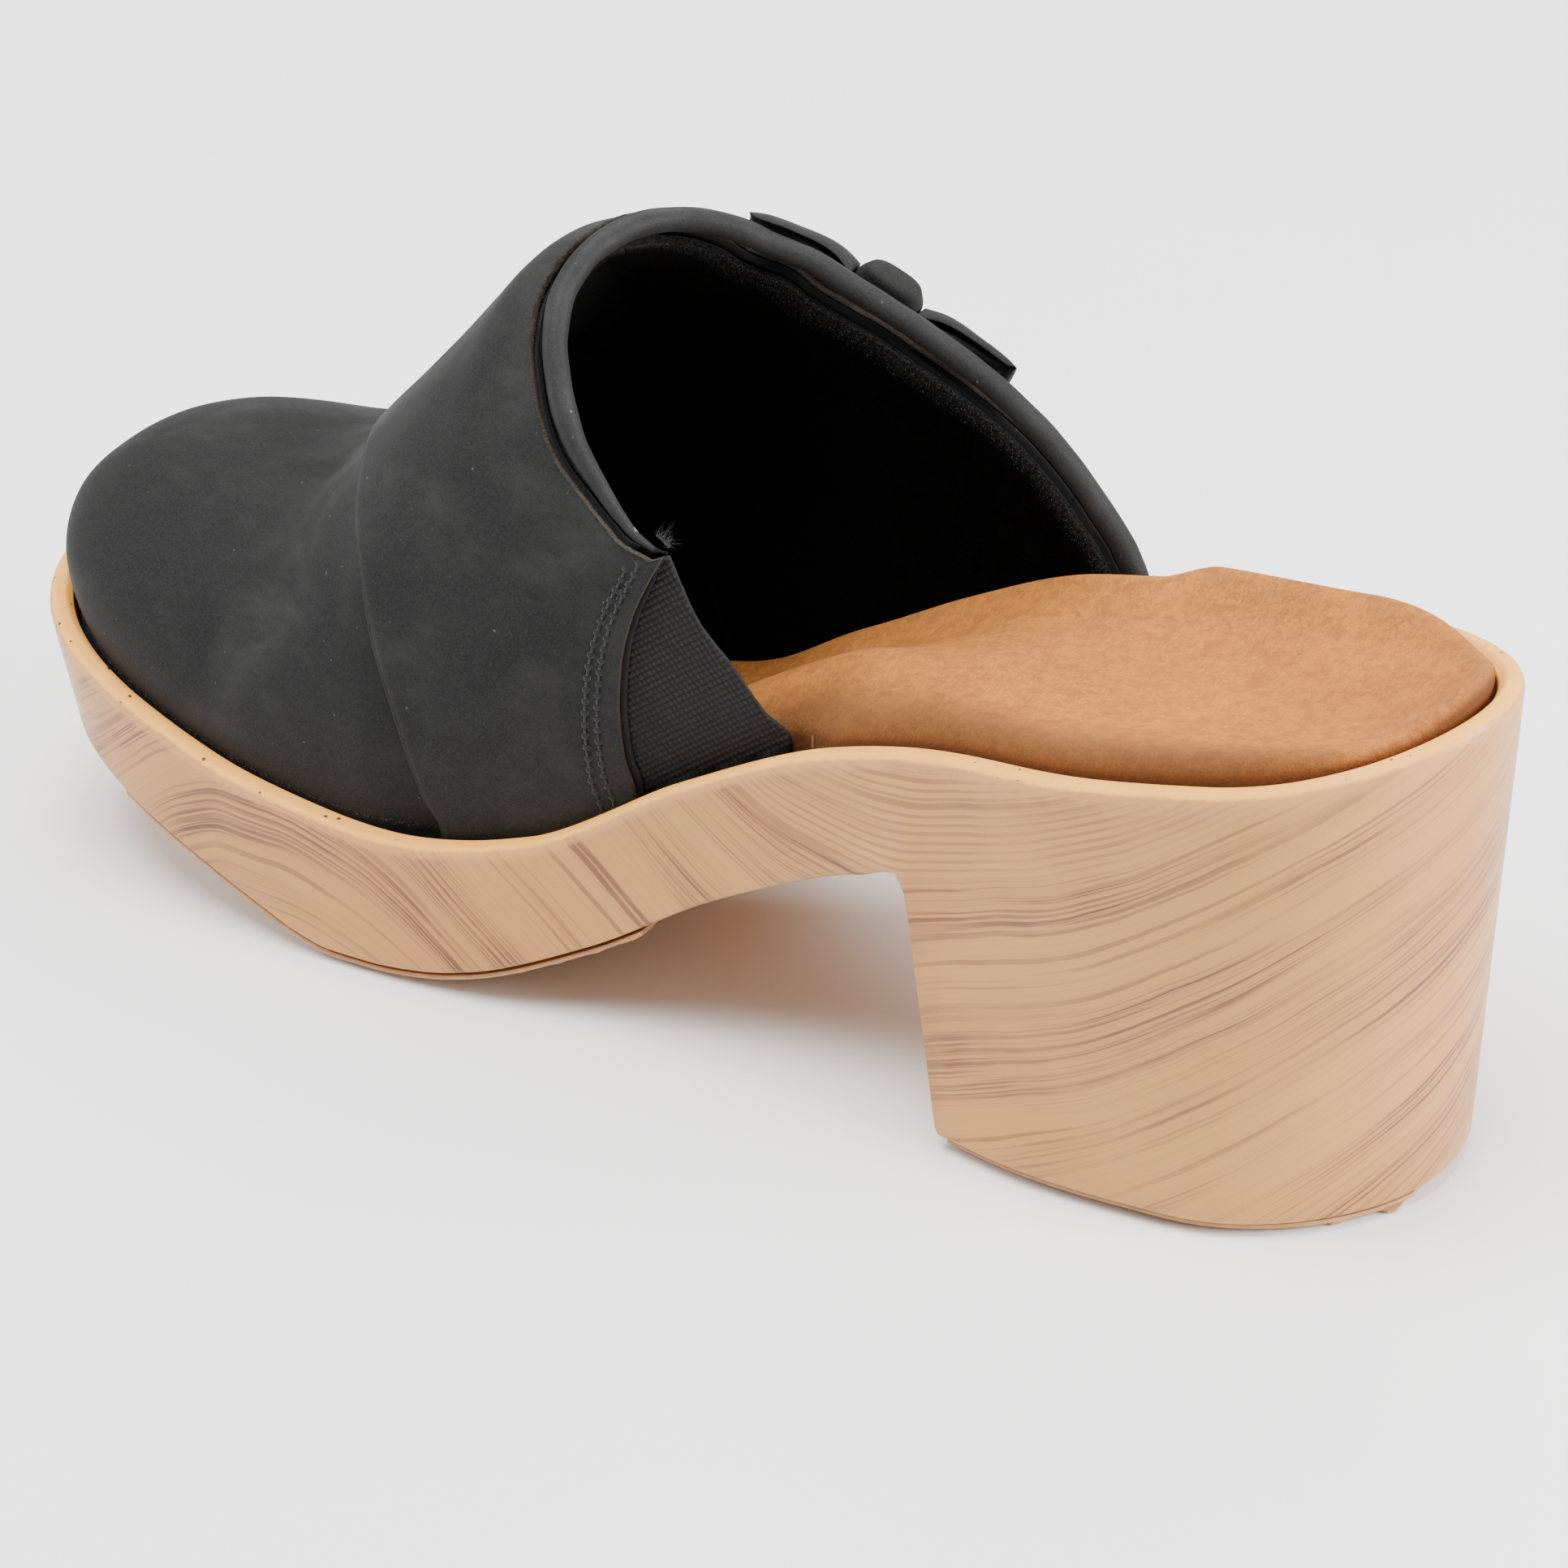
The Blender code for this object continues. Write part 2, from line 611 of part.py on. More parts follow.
def skin_normal(s, v):
    """Outward direction of the base surface, level near the rim."""
    s = np.asarray(s, float)
    v = np.asarray(v, float)
    near = np.minimum(s, UPPER_TIP - 0.4)
    inside = np.clip(v, 0.004, 0.996)
    along = skin(near + 0.2, inside) - skin(near - 0.2, inside)
    over = skin(near, inside + 0.002) - skin(near, inside - 0.002)
    n = np.cross(along, over)
    n = -n / np.linalg.norm(n, axis=-1)[..., None]
    centre = np.stack([near, curve(CENTRE, near), rim(near) - 20], -1)
    flip = np.sign(np.sum((skin(near, inside) - centre) * n, -1))
    n = n * np.where(flip == 0, 1, flip)[..., None]
    core = UPPER_TIP - 30.0
    out = skin(near, inside) - np.array([core, float(curve(CENTRE, core)), float(rim(core)) + 9])
    out = out / np.linalg.norm(out, axis=-1)[..., None]
    blend = np.clip((s - 226.0) / 18.0, 0, 1)[..., None] * np.ones_like(n)
    blend = blend * blend * (3 - 2 * blend)
    n = n * (1 - blend) + out * blend
    tip = (s >= UPPER_TIP - 1e-6)
    n = np.where(tip[..., None], np.array([1.0, 0, 0]), n)
    share = np.clip((skin(near, inside)[..., 2] - rim(near)) / 9.0, 0, 1)
    n[..., 2] = n[..., 2] * share * share * (3 - 2 * share)
    return n / np.linalg.norm(n, axis=-1)[..., None]


def layer_point(s, v, offset):
    """Base surface moved outwards by offset."""
    return skin(s, v) + offset * skin_normal(s, v)


def arch_rows(first, last, count, tuck_first, tuck_last):
    """Places over the arch, with a tucked row below the rim where asked."""
    rows = list(np.linspace(first, last, count))
    if tuck_first:
        rows = [-TUCK_STEP] + rows
    if tuck_last:
        rows = rows + [1 + TUCK_STEP]
    return np.array(rows)


def shell(name, rows, start, stop, count, outer, inner, mat, to_tip=False):
    """Thin piece of the upper between two edge curves and two offsets."""
    grids = []
    t = np.linspace(0, 1, count)
    if to_tip:
        t = np.sin(t * math.pi / 2) ** 0.9
    for offset in (outer, inner):
        a = start(rows)[:, None]
        b = stop(rows)[:, None]
        s = a + (b - a) * t[None, :]
        v = np.repeat(rows[:, None], count, 1)
        grids.append(layer_point(s, v, offset).reshape(-1, 3))
    verts = [tuple(p) for p in np.concatenate(grids)]
    size = len(rows) * count
    faces = tube_faces(len(rows), count, 0, False)
    faces += tube_faces(len(rows), count, size, False)
    for i in range(len(rows) - 1):
        a = i * count
        faces.append((a, a + count, a + count + size, a + size))
        if not to_tip:
            b = i * count + count - 1
            faces.append((b, b + count, b + count + size, b + size))
    for k in range(count - 1):
        faces.append((k, k + 1, k + 1 + size, k + size))
        b = (len(rows) - 1) * count + k
        faces.append((b, b + 1, b + 1 + size, b + size))
    return body(name, verts, faces, mat)


def topline(v):
    """Rear edge of the upper above the gore's corner, front edge of the gore below it."""
    return np.where(np.asarray(v) > GORE_CORNER, curve(TOPLINE, v), curve(GORE_FRONT, v))


def seam(v):
    return curve(SEAM, v)


def edge_slant(v):
    """Change of position per millimetre square to the topline."""
    step = 0.003
    v = np.clip(np.asarray(v, float), step, 1 - step)
    v = np.where(v > GORE_CORNER, np.maximum(v, GORE_CORNER + 2 * step),
                 np.minimum(v, GORE_CORNER - 2 * step))
    ahead = skin(topline(v + step), v + step) - skin(topline(v - step), v - step)
    along = np.abs(ahead[..., 0]) / np.linalg.norm(ahead, axis=-1)
    return 1 / np.sqrt(np.clip(1 - along ** 2, 0.2, 1))


def opening(v):
    """How far band and piping have spread apart from the gore's top corner."""
    t = np.clip((np.asarray(v, float) - GORE_CORNER) / CORNER_FADE, 0, 1)
    return CORNER_SHARE + (1 - CORNER_SHARE) * np.sin(t * math.pi / 2)


def band_edge(v):
    """Rear edge of the band: the gore's front edge, then just ahead of the piping."""
    v = np.asarray(v, float)
    return topline(v) + np.where(v > GORE_CORNER, BAND_BACK * edge_slant(v) * opening(v), 0.0)


def vamp(mat):
    """Toe part of the upper, running on under the band."""
    rows = arch_rows(0, 1, 21, True, True)
    return shell("vamp", rows, lambda v: seam(v) - UNDERLAP, lambda v: 0 * v + UPPER_TIP, 13,
                 0.0, -LEATHER, mat, True)


def toe_puff(mat):
    """Stiffener inside the toe."""
    rows = arch_rows(0, 1, 17, True, True)
    return shell("toe_puff", rows, lambda v: 0 * v + TOE_START, lambda v: 0 * v + UPPER_TIP, 8,
                 PUFF[0], PUFF[1], mat, True)


def vamp_lining(mat):
    """Lining of the toe part."""
    rows = arch_rows(0, 1, 19, True, True)
    return shell("vamp_lining", rows, lambda v: seam(v) - 8.0, lambda v: 0 * v + UPPER_TIP, 11,
                 VAMP_LINING[0], VAMP_LINING[1], mat, True)


def instep_band(mat):
    """Wide band over the instep."""
    rows = arch_rows(0, 1, 27, True, True)
    rows = np.sort(np.append(rows, [GORE_CORNER - 0.012, GORE_CORNER + 0.012]))
    return shell("instep_band", rows, band_edge, seam, 9, BAND[1], BAND[0], mat)


def quarter(mat):
    """Underlay that carries the topline below the band."""
    rows = np.append(np.linspace(GORE_CORNER + 0.012, 1, 21), 1 + TUCK_STEP)
    return shell("quarter", rows,
                 lambda v: topline(v) + LINING_BACK * edge_slant(v) * opening(v),
                 lambda v: seam(v) - UNDERLAP - 0.5, 7, 0.0, -LEATHER, mat)


def quarter_facing(mat):
    """Inner side underlay between gore and vamp."""
    rows = np.append(-TUCK_STEP, np.linspace(0, GORE_CORNER + 0.006, 6))
    return shell("quarter_facing", rows, lambda v: topline(v) + 7.0,
                 lambda v: seam(v) - UNDERLAP - 1.0, 4, 0.0, -LEATHER, mat)


def lining_edge(v):
    """Rear edge of the velvet lining, tucked against the piping."""
    v = np.asarray(v, float)
    return topline(v) + np.where(v > GORE_CORNER, LINING_BACK * edge_slant(v) * opening(v), 1.0)


def quarter_lining(mat):
    """Velvet lining of the instep and the outer side."""
    rows = arch_rows(0, 1, 23, True, True)
    rows = np.sort(np.append(rows, [GORE_CORNER - 0.008, GORE_CORNER + 0.01]))
    return shell("quarter_lining", rows, lining_edge, lambda v: seam(v) - 8.5, 9,
                 QUARTER_LINING[0], QUARTER_LINING[1], mat)


def medial_gore(mat):
    """Elastic wedge on the inner side, its front edge held under the band."""
    rows = np.append(-TUCK_STEP, np.linspace(0, GORE_CORNER - 0.002, 7))
    return shell("medial_gore", rows, lambda v: curve(GORE_REAR, v),
                 lambda v: topline(v) + 6.4, 6, 0.0, -GORE_THICK, mat)


def topline_path():
    """Centre of the piping, the directions square to it and its share of full size."""
    v = np.append(np.linspace(GORE_CORNER + 0.012, 1, 26), 1 + TUCK_STEP * 0.6)
    inside = np.clip(v, 0, 1)
    share = opening(inside)
    s = topline(inside) + BINDING * edge_slant(inside) * share
    n = skin_normal(s, v)
    centre = skin(s, v) - 0.2 * n
    ahead = np.gradient(centre, axis=0)
    ahead = ahead / np.linalg.norm(ahead, axis=1)[:, None]
    n = n - np.sum(n * ahead, 1)[:, None] * ahead
    n = n / np.linalg.norm(n, axis=1)[:, None]
    return centre, n, np.cross(ahead, n), share[:, None]


def sweep(centre, up, side, radius, sides):
    """Rows of points round a path, at one radius for each point of the path."""
    pts = []
    for k in range(sides):
        a = 2 * math.pi * k / sides
        pts.append(centre + radius * (math.cos(a) * up + math.sin(a) * side))
    return np.stack(pts, 1)


def topline_binding(mat):
    """Nubuck binding rolled round the piping cord."""
    centre, up, side, share = topline_path()
    sides = 8
    outer = sweep(centre, up, side, BINDING * share, sides)
    inner = sweep(centre, up, side, (CORD + GAP) * share, sides)
    rows = len(centre)
    verts = [tuple(p) for p in np.concatenate([outer.reshape(-1, 3), inner.reshape(-1, 3)])]
    size = rows * sides
    faces = tube_faces(rows, sides) + tube_faces(rows, sides, size)
    for start in (0, size - sides):
        for k in range(sides):
            n = (k + 1) % sides
            faces.append((start + k, start + n, start + n + size, start + k + size))
    return body("topline_binding", verts, faces, mat)


def piping_cord(mat):
    """Cord inside the binding."""
    centre, up, side, share = topline_path()
    sides = 6
    pts = sweep(centre, up, side, CORD * share, sides)
    verts = [tuple(p) for p in pts.reshape(-1, 3)]
    faces = tube_faces(len(centre), sides)
    faces += [tuple(range(sides)), tuple(range(len(verts) - sides, len(verts)))]
    return body("piping_cord", verts, faces, mat)


# ---------------------------------------------------------------- bow

def bow_frame():
    """Centre and directions of the bow: along the topline, forwards, outwards."""
    v = BOW_PLACE
    s = float(topline(v)) + BOW_SET * float(edge_slant(v))
    centre = skin(s, v)
    n = skin_normal(np.array([s]), np.array([v]))[0]
    ahead = skin(topline(v - 0.03), v - 0.03) - skin(topline(v + 0.03), v + 0.03)
    ahead = ahead - np.dot(ahead, n) * n
    ahead = ahead / np.linalg.norm(ahead)
    return centre, ahead, np.cross(n, ahead), n, s, v


def bow_points(p, q, r):
    """Points at distance p along, q across and r above the curved band surface."""
    centre, along, across, n, s0, v0 = bow_frame()
    flat = centre + p[..., None] * along + q[..., None] * across
    s = s0 + 0 * p
    v = v0 + 0 * p
    for _ in range(12):
        here = skin(s, v)
        ds = (skin(s + 0.1, v) - here) / 0.1
        dv = (skin(s, v + 0.0005) - here) / 0.0005
        miss = flat - here
        a = np.sum(miss * along, -1)
        b = np.sum(miss * across, -1)
        m11 = np.sum(ds * along, -1)
        m12 = np.sum(dv * along, -1)
        m21 = np.sum(ds * across, -1)
        m22 = np.sum(dv * across, -1)
        det = m11 * m22 - m12 * m21
        s = s + np.clip((a * m22 - b * m12) / det, -8, 8)
        v = v + np.clip((b * m11 - a * m21) / det, -0.05, 0.05)
        v = np.clip(v, 0.02, 0.99)
    rise = np.sum((skin(s, v) - centre) * n, -1)
    return flat + (rise + BAND[1] + r)[..., None] * n


def bow_loop(name, way, lift, mat):
    """Folded wing: a strip running out from the knot, round its tip and back."""
    path = np.array(BOW_LINE)
    tangent = np.gradient(path, axis=0)
    tangent = tangent / np.linalg.norm(tangent, axis=1)[:, None]
    inward = np.stack([tangent[:, 1], -tangent[:, 0]], 1)
    across = 7
    layers = []
    for depth in (0.0, BOW_THICK):
        line = path + depth * inward
        p = np.repeat(line[:, :1], across, 1)
        r = np.repeat(line[:, 1:], across, 1)
        r = r - lift * np.clip((p - 8) / 16, 0, 1) * np.clip(r / 8, 0, 1)
        open_share = np.sin(np.clip((path[:, 0] - 2) / 17, 0, 1) * math.pi / 2)
        wide = BOW_WIDTH / 2 * (0.5 + 0.5 * open_share)
        wide = wide * (BOW_UNDER + (1 - BOW_UNDER) * np.clip((path[:, 1] - 1) / 3, 0, 1))
        q = wide[:, None] * np.linspace(-1, 1, across)[None, :]
        droop = np.clip(path[:, 1:] - BOW_HEM, 0, BOW_DROOP)
        r = r - droop * np.linspace(-1, 1, across)[None, :] ** 4
        layers.append(bow_points(way * p, q, r).reshape(-1, 3))
    verts = [tuple(x) for x in np.concatenate(layers)]
    size = len(path) * across
    faces = tube_faces(len(path), across, 0, False) + tube_faces(len(path), across, size, False)
    for i in range(len(path) - 1):
        for k in (0, across - 1):
            a = i * across + k
            faces.append((a, a + across, a + across + size, a + size))
    for k in range(across - 1):
        for a in (k, (len(path) - 1) * across + k):
            faces.append((a, a + 1, a + 1 + size, a + size))
    return body(name, verts, faces, mat)


def bow_knot(mat):
    """Rounded band round the middle of the bow."""
    rows = 9
    sides = 16
    pts = []
    for t in np.linspace(-1, 1, rows):
        scale = max(0.0, 1 - abs(t) ** 4) ** 0.5
        for k in range(sides):
            a = 2 * math.pi * k / sides
            c = math.copysign(abs(math.cos(a)) ** 0.7, math.cos(a))
            d = math.copysign(abs(math.sin(a)) ** 0.7, math.sin(a))
            pts.append((KNOT[0] * c * (0.6 + 0.4 * scale), KNOT[1] * t,
                        KNOT_LIFT + KNOT[2] * d * (0.55 + 0.45 * scale)))
    p, q, r = np.array(pts).T
    verts = [tuple(x) for x in bow_points(p, q, r)]
    faces = tube_faces(rows, sides)
    faces += [tuple(range(sides)), tuple(range(len(verts) - sides, len(verts)))]
    return body("bow_knot", verts, faces, mat)


# ---------------------------------------------------------------- assembly

def clear_scene():
    """Starts from an empty scene."""
    for obj in list(bpy.data.objects):
        bpy.data.objects.remove(obj, do_unlink=True)


def on_board(s, y):
    """Point on the top face of the insole board."""
    return (s, y, float(cup_floor(s)) + GAP + BOARD)


def build_bottom():
    """Sole, treads, heel insert, shank, board and fastenings."""
    hidden = material("cutter_grey", (120, 120, 120), 0.8)
    steel = material("zinc_steel", (176, 178, 180), 0.35, 1.0)
    rubber = material("tread_rubber", (186, 155, 120), 0.75)
    sole = sole_unit(material("wood_look_polyurethane", (212, 178, 143), 0.42))
    tread("heel_tread", HEEL_TREAD, HEEL_TREAD_INSET, HEEL_TREAD_ACROSS, rubber)
    tread("forefoot_tread", FORE_TREAD, FORE_TREAD_INSET, FORE_TREAD_ACROSS, rubber)
    core = body("heel_core", *heel_core_shape(0.0), material("heel_insert_abs", (70, 70, 72), 0.5))
    cut(sole, cutter("core_pocket", *heel_core_shape(GAP), hidden))
    cut(sole, cutter("shank_slot", *strip_shape(GAP, 1.5), hidden))
    shank = body("steel_shank", *strip_shape(0.0, -SHANK_DEPTH[0]), steel)
    board = insole_board(material("insole_fibreboard", (150, 120, 88), 0.85))
    middle = [on_board(*HEEL_MIDDLE)]
    body("heel_screw", *column(16, middle, SCREW), steel)
    screw_hole = cutter("screw_hole", *column(16, middle, SCREW_HOLE), hidden)
    nails = [on_board(s, y) for s, y in NAIL_SPOTS]
    for k, spot in enumerate(nails):
        body("heel_nail_" + str(k + 1), *column(10, [spot], NAIL), steel)
    nail_hole = cutter("nail_holes", *column(10, nails, NAIL_HOLE), hidden)
    for piece in (board, core):
        cut(piece, screw_hole)
        cut(piece, nail_hole)
    rivets = [on_board(s, float(curve(CENTRE, s))) for s in RIVET_SPOTS]
    for k, spot in enumerate(rivets):
        body("shank_rivet_" + str(k + 1), *column(12, [spot], RIVET), steel)
    rivet_hole = cutter("rivet_holes", *column(12, rivets, RIVET_HOLE), hidden)
    for piece in (board, shank):
        cut(piece, rivet_hole)


def build_upper():
    """Leather, lining, elastic and trims over the foot."""
    nubuck = material("black_nubuck", (38, 39, 41), 0.85)
    velvet = material("velvet_lining", (14, 14, 15), 0.95)
    vamp(nubuck)
    instep_band(material("band_nubuck", (40, 41, 43), 0.85))
    quarter(material("quarter_nubuck", (36, 37, 39), 0.85))
    quarter_facing(material("facing_nubuck", (34, 35, 37), 0.85))
    topline_binding(material("binding_nubuck", (42, 44, 46), 0.75))
    piping_cord(material("piping_cord", (190, 188, 180), 0.9))
    medial_gore(material("elastic_webbing", (26, 27, 29), 0.9))
    toe_puff(material("toe_stiffener", (200, 195, 182), 0.8))
    vamp_lining(material("vamp_velvet", (15, 15, 16), 0.95))
    quarter_lining(velvet)
    bow_loop("bow_upper_loop", 1, 0.8, material("bow_nubuck", (38, 39, 42), 0.85))
    bow_loop("bow_lower_loop", -1, 0.0, material("bow_lower_nubuck", (38, 39, 42), 0.85))
    bow_knot(material("knot_nubuck", (36, 37, 40), 0.85))


def build():
    """Whole clog."""
    clear_scene()
    build_bottom()
    footbed(material("footbed_foam", (232, 214, 150), 0.9),
            material("footbed_microsuede", (190, 130, 80), 0.9))
    build_upper()


build()
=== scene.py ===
"""Looks of the heeled clog mule: fine surfaces, stitching, fibres and materials.

Tables are in millimetres, positions counted from the back of the heel, +Y to the
inner side of this right shoe, +Z up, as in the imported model.
"""
import math

import bmesh
import bpy
import numpy as np
from mathutils import Matrix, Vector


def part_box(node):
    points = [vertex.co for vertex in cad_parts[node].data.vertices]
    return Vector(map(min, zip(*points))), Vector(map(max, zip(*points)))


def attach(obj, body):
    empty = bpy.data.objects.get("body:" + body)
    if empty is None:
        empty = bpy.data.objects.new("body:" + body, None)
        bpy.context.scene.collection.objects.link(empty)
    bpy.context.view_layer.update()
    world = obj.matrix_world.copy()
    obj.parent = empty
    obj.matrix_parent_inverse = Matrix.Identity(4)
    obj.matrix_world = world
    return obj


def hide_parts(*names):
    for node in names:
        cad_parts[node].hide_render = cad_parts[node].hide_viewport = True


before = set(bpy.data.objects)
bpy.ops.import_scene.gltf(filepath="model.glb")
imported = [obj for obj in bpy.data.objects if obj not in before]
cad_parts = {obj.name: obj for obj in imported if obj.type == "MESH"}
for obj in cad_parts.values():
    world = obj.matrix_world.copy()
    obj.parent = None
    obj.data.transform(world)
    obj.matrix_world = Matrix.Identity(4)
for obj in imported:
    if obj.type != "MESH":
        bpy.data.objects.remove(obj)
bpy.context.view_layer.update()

MM = 0.001
SOLE_LOW, SOLE_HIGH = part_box("sole_unit")
LENGTH = round((SOLE_HIGH.x - SOLE_LOW.x) / MM, 1)
HEEL_ROUND = 34.0
TOE_ROUND = 70.0
TOE_POWER = 2.4
SIDE_SHIFT = 2.26

# sole: half width, middle line, rim and lower edge by position
WIDTH = [(0, 28), (30, 31.5), (60, 34.5), (85, 33), (110, 34), (134, 37), (159, 42.5),
         (184, 44.5), (209, 44.5), (256.5, 47)]
CENTRE = [(0, 0.5), (30, 1.5), (75, -0.5), (105, -3), (134, -3.2), (159, -2.8), (179, -2.5),
          (204, -1.5), (229, 1), (256.5, 5)]
RIM = [(0, 85.2), (12, 81.2), (25, 77.9), (50, 72.7), (75, 68.2), (99.5, 60.2), (124, 47.2),
       (149, 31.6), (174, 26.6), (199, 29.1), (224, 35.1), (256.5, 43.4)]
LOWER = [(0, 2), (74.3, 2), (76.2, 12), (78.2, 24), (80.2, 36), (81.8, 43), (84, 45.4),
         (91, 42), (99, 38.2), (119, 27.2), (139, 13.8), (158.5, 5), (168, 2.7), (176, 2),
         (184, 2), (190, 3.2), (198.5, 6.4), (218.5, 13.4), (238.5, 19.4), (256.5, 23)]
RIM_WIDTH = 4.0
CUP_DEPTH = [(0, 9), (60, 9), (95, 13), (200, 13), (257, 11)]
RIM_ROLL = 0.6
WALL_ROWS = 30
TREAD_DROP = 2.0
HEEL_TREAD = (1.5, 73.0)
FORE_TREAD = (130.0, 230.0)
HEEL_TREAD_INSET = -1.0
FORE_TREAD_INSET = 1.0
PLATE = 1.1
HEEL_RAKE = 3.2
TOE_RAKE = 5.0
TREAD_RAKE = HEEL_RAKE + 1.0
BREAST = 74.3
HEEL_FLARE = 2.6
ROLL = 1.8
FOOT_ROLL = 1.4
GAP = 0.3
BOARD = 2.2
LIP = 4.8
LIP_END = 20.0
LUG_PITCH = 6.2
LUG_WIDTH = 6.6
LUG_GAP = 0.7
LUG_SKEW = 0.22
LUG_LEVELS = ((PLATE - 0.15, 1.0), (TREAD_DROP - 0.25, 0.88), (TREAD_DROP - 0.02, 0.78))
LUG_OUTLINE = ((-1, -0.6), (-0.6, -1), (0.6, -1), (1, -0.6), (1, 0.6), (0.6, 1), (-0.6, 1), (-1, 0.6))

# footbed: distance from the outline, and height over the rim from outer to inner border
FREE_INNER = [(0, 4.5), (97, 4.6), (106, 8.4), (125, 9.4), (134, 10.4), (150, 11.8), (168, 11.8),
              (184, 10.2), (215, 10.6), (257, 11.6)]
FREE_OUTER = [(0, 4.5), (61.5, 4.5), (70.5, 9.9), (140, 10.3), (152, 11.8), (168, 11.8),
              (184, 10.2), (215, 10.6), (257, 11.6)]
RISE_PLACES = (-1.0, -0.5, 0.0, 0.45, 1.0)
RISE = [
    [(0, 6.5), (20, 6.4), (55, 6.4), (80, 6.2), (105, 2.2), (125, 0.5), (145, 0), (170, 0), (257, 0)],
    [(0, 2), (30, 1.2), (60, 1.5), (85, 2), (105, -1), (125, -2.5), (170, -1), (257, -1)],
    [(0, 1.5), (30, 0.3), (60, 1), (85, 3), (105, 3), (125, 1.5), (170, -1), (257, -1)],
    [(0, 2), (30, 1.2), (60, 2), (85, 5.5), (105, 8), (125, 7), (145, 3.5), (170, 0), (257, -1)],
    [(0, 6), (30, 4.6), (60, 4), (85, 4), (105, 4), (125, 3), (145, 1), (170, 0), (257, 0)],
]

# upper: base surface, and its seams by place over the arch (0 inner side, 1 outer side)
INSET = [(60, 6.3), (166, 6.3), (181, 4.5), (240, 4.5), (256.5, 4.7)]
CREST = [(60, 156), (90, 149), (110, 142), (130, 133.5), (150, 122.3), (159, 117.8), (165, 114.8),
         (171, 107.5), (178, 98.7), (184, 91.5), (191, 83.5), (197, 76.8), (202, 72.6), (214, 69),
         (228, 67.8), (256.5, 65.5)]
FULLNESS = [(60, 2.3), (150, 2.3), (175, 2.4), (200, 2.2), (222, 2.25), (245, 2.7), (257, 2.9)]
BULGE = 0.07
TOE_LEAN = 3.2
CLOSE_START = 208.0
CLOSE = (4.4, 2.7)
UPPER_TIP = LENGTH - 4.6
TUCK = 6.0
TUCK_STEP = 0.05
TOE_START = 212.0
NOSE = (226.0, 18.0)
GORE_CORNER = 0.131
TOPLINE = [(0.131, 128.5), (0.162, 134.5), (0.208, 140.5), (0.252, 145.5), (0.3, 149.6),
           (0.352, 153), (0.41, 155), (0.46, 155.2), (0.51, 154), (0.56, 151), (0.602, 147),
           (0.675, 139), (0.725, 131.5), (0.758, 126), (0.815, 114), (0.872, 101), (0.918, 90),
           (0.958, 81), (0.985, 75.5), (1.0, 73.5), (1.05, 73.5)]
GORE_FRONT = [(-0.05, 133.5), (0, 133.5), (0.022, 135), (0.048, 135.5), (0.075, 135),
              (0.1, 133.3), (0.118, 130.8), (0.131, 128.5)]
GORE_REAR = [(-0.05, 107.5), (0, 107.5), (0.018, 112), (0.05, 117.5), (0.082, 123), (0.131, 128.5)]
SEAM = [(-0.05, 165.5), (0, 165.5), (0.015, 168), (0.082, 173), (0.12, 175.5), (0.162, 177.8),
        (0.24, 182.5), (0.292, 185.6), (0.362, 189.5), (0.43, 194), (0.5, 197.5), (0.57, 194.5),
        (0.64, 189.5), (0.72, 185), (0.8, 180.5), (0.88, 175.5), (0.94, 171), (0.985, 166),
        (1, 163), (1.05, 163)]
UNDERLAP = 12.0
BINDING = 2.0
CORNER_FADE = 0.16
CORNER_SHARE = 0.2
# layers: thickness, or distances from the base surface
LEATHER = 1.3
BAND = (0.5, 1.8)
BAND_BACK = 4.8
LINING_BACK = 4.6
GORE_THICK = 1.0
WEAVE = (0.98, 0.92)
STITCH_ROWS = (3.3, 5.3)
HAIR_CORNERS = (0.0, 2.094, 4.189)
VAMP_LINING = (-3.2, -4.2)
QUARTER_LINING = (-2.0, -3.0)

# bow: profile of a wing as (distance from the knot, height)
BOW_PLACE = 0.815
BOW_SET = 6.5
BOW_WIDTH = 22.0
BOW_THICK = 1.1
BOW_DROOP = 4.0
BOW_HEM = 1.9
BOW_UNDER = 0.82
BOW_LINE = [(6.3, 6.2), (9, 6.6), (13, 6.5), (17, 6.1), (20.5, 5.8), (22.8, 5.3), (24.0, 4.3),
            (23.8, 3.0), (22.2, 1.8), (19, 1.1), (14, 0.8), (9, 0.7), (6.3, 0.7)]
KNOT = (5.9, 9.6, 3.0)
KNOT_LIFT = 3.7

# height by which the printed grain lines climb along the outline, from the heel's back
GRAIN_INNER = [(0, 60), (25, 44.7), (45, 31), (65, 17), (80, 9.5), (100, 2), (110, 0.7), (120, 2),
               (134, 10), (154, 30), (176, 54), (188, 65), (200, 72), (212, 75), (222, 75),
               (232, 71), (250, 59), (300, 30)]
GRAIN_OUTER = [(0, 60), (25, 74), (50, 80), (80, 74), (120, 50), (160, 30), (200, 20), (240, 24),
               (300, 30)]


def leans(slope):
    """Slopes at the points of a curve that keep it from overshooting."""
    out = np.zeros((len(slope) + 1,) + slope.shape[1:])
    out[0] = slope[0]
    out[-1] = slope[-1]
    product = slope[:-1] * slope[1:]
    total = slope[:-1] + slope[1:]
    out[1:-1] = np.where(product > 0, 2 * product / np.where(total == 0, 1, total), 0)
    return out


def cubic(t, step, low, high, lean_low, lean_high):
    """Cubic piece between two values, with the slope given at each."""
    near = (2 * t ** 3 - 3 * t ** 2 + 1) * low + (t ** 3 - 2 * t ** 2 + t) * step * lean_low
    far = (3 * t ** 2 - 2 * t ** 3) * high + (t ** 3 - t ** 2) * step * lean_high
    return near + far


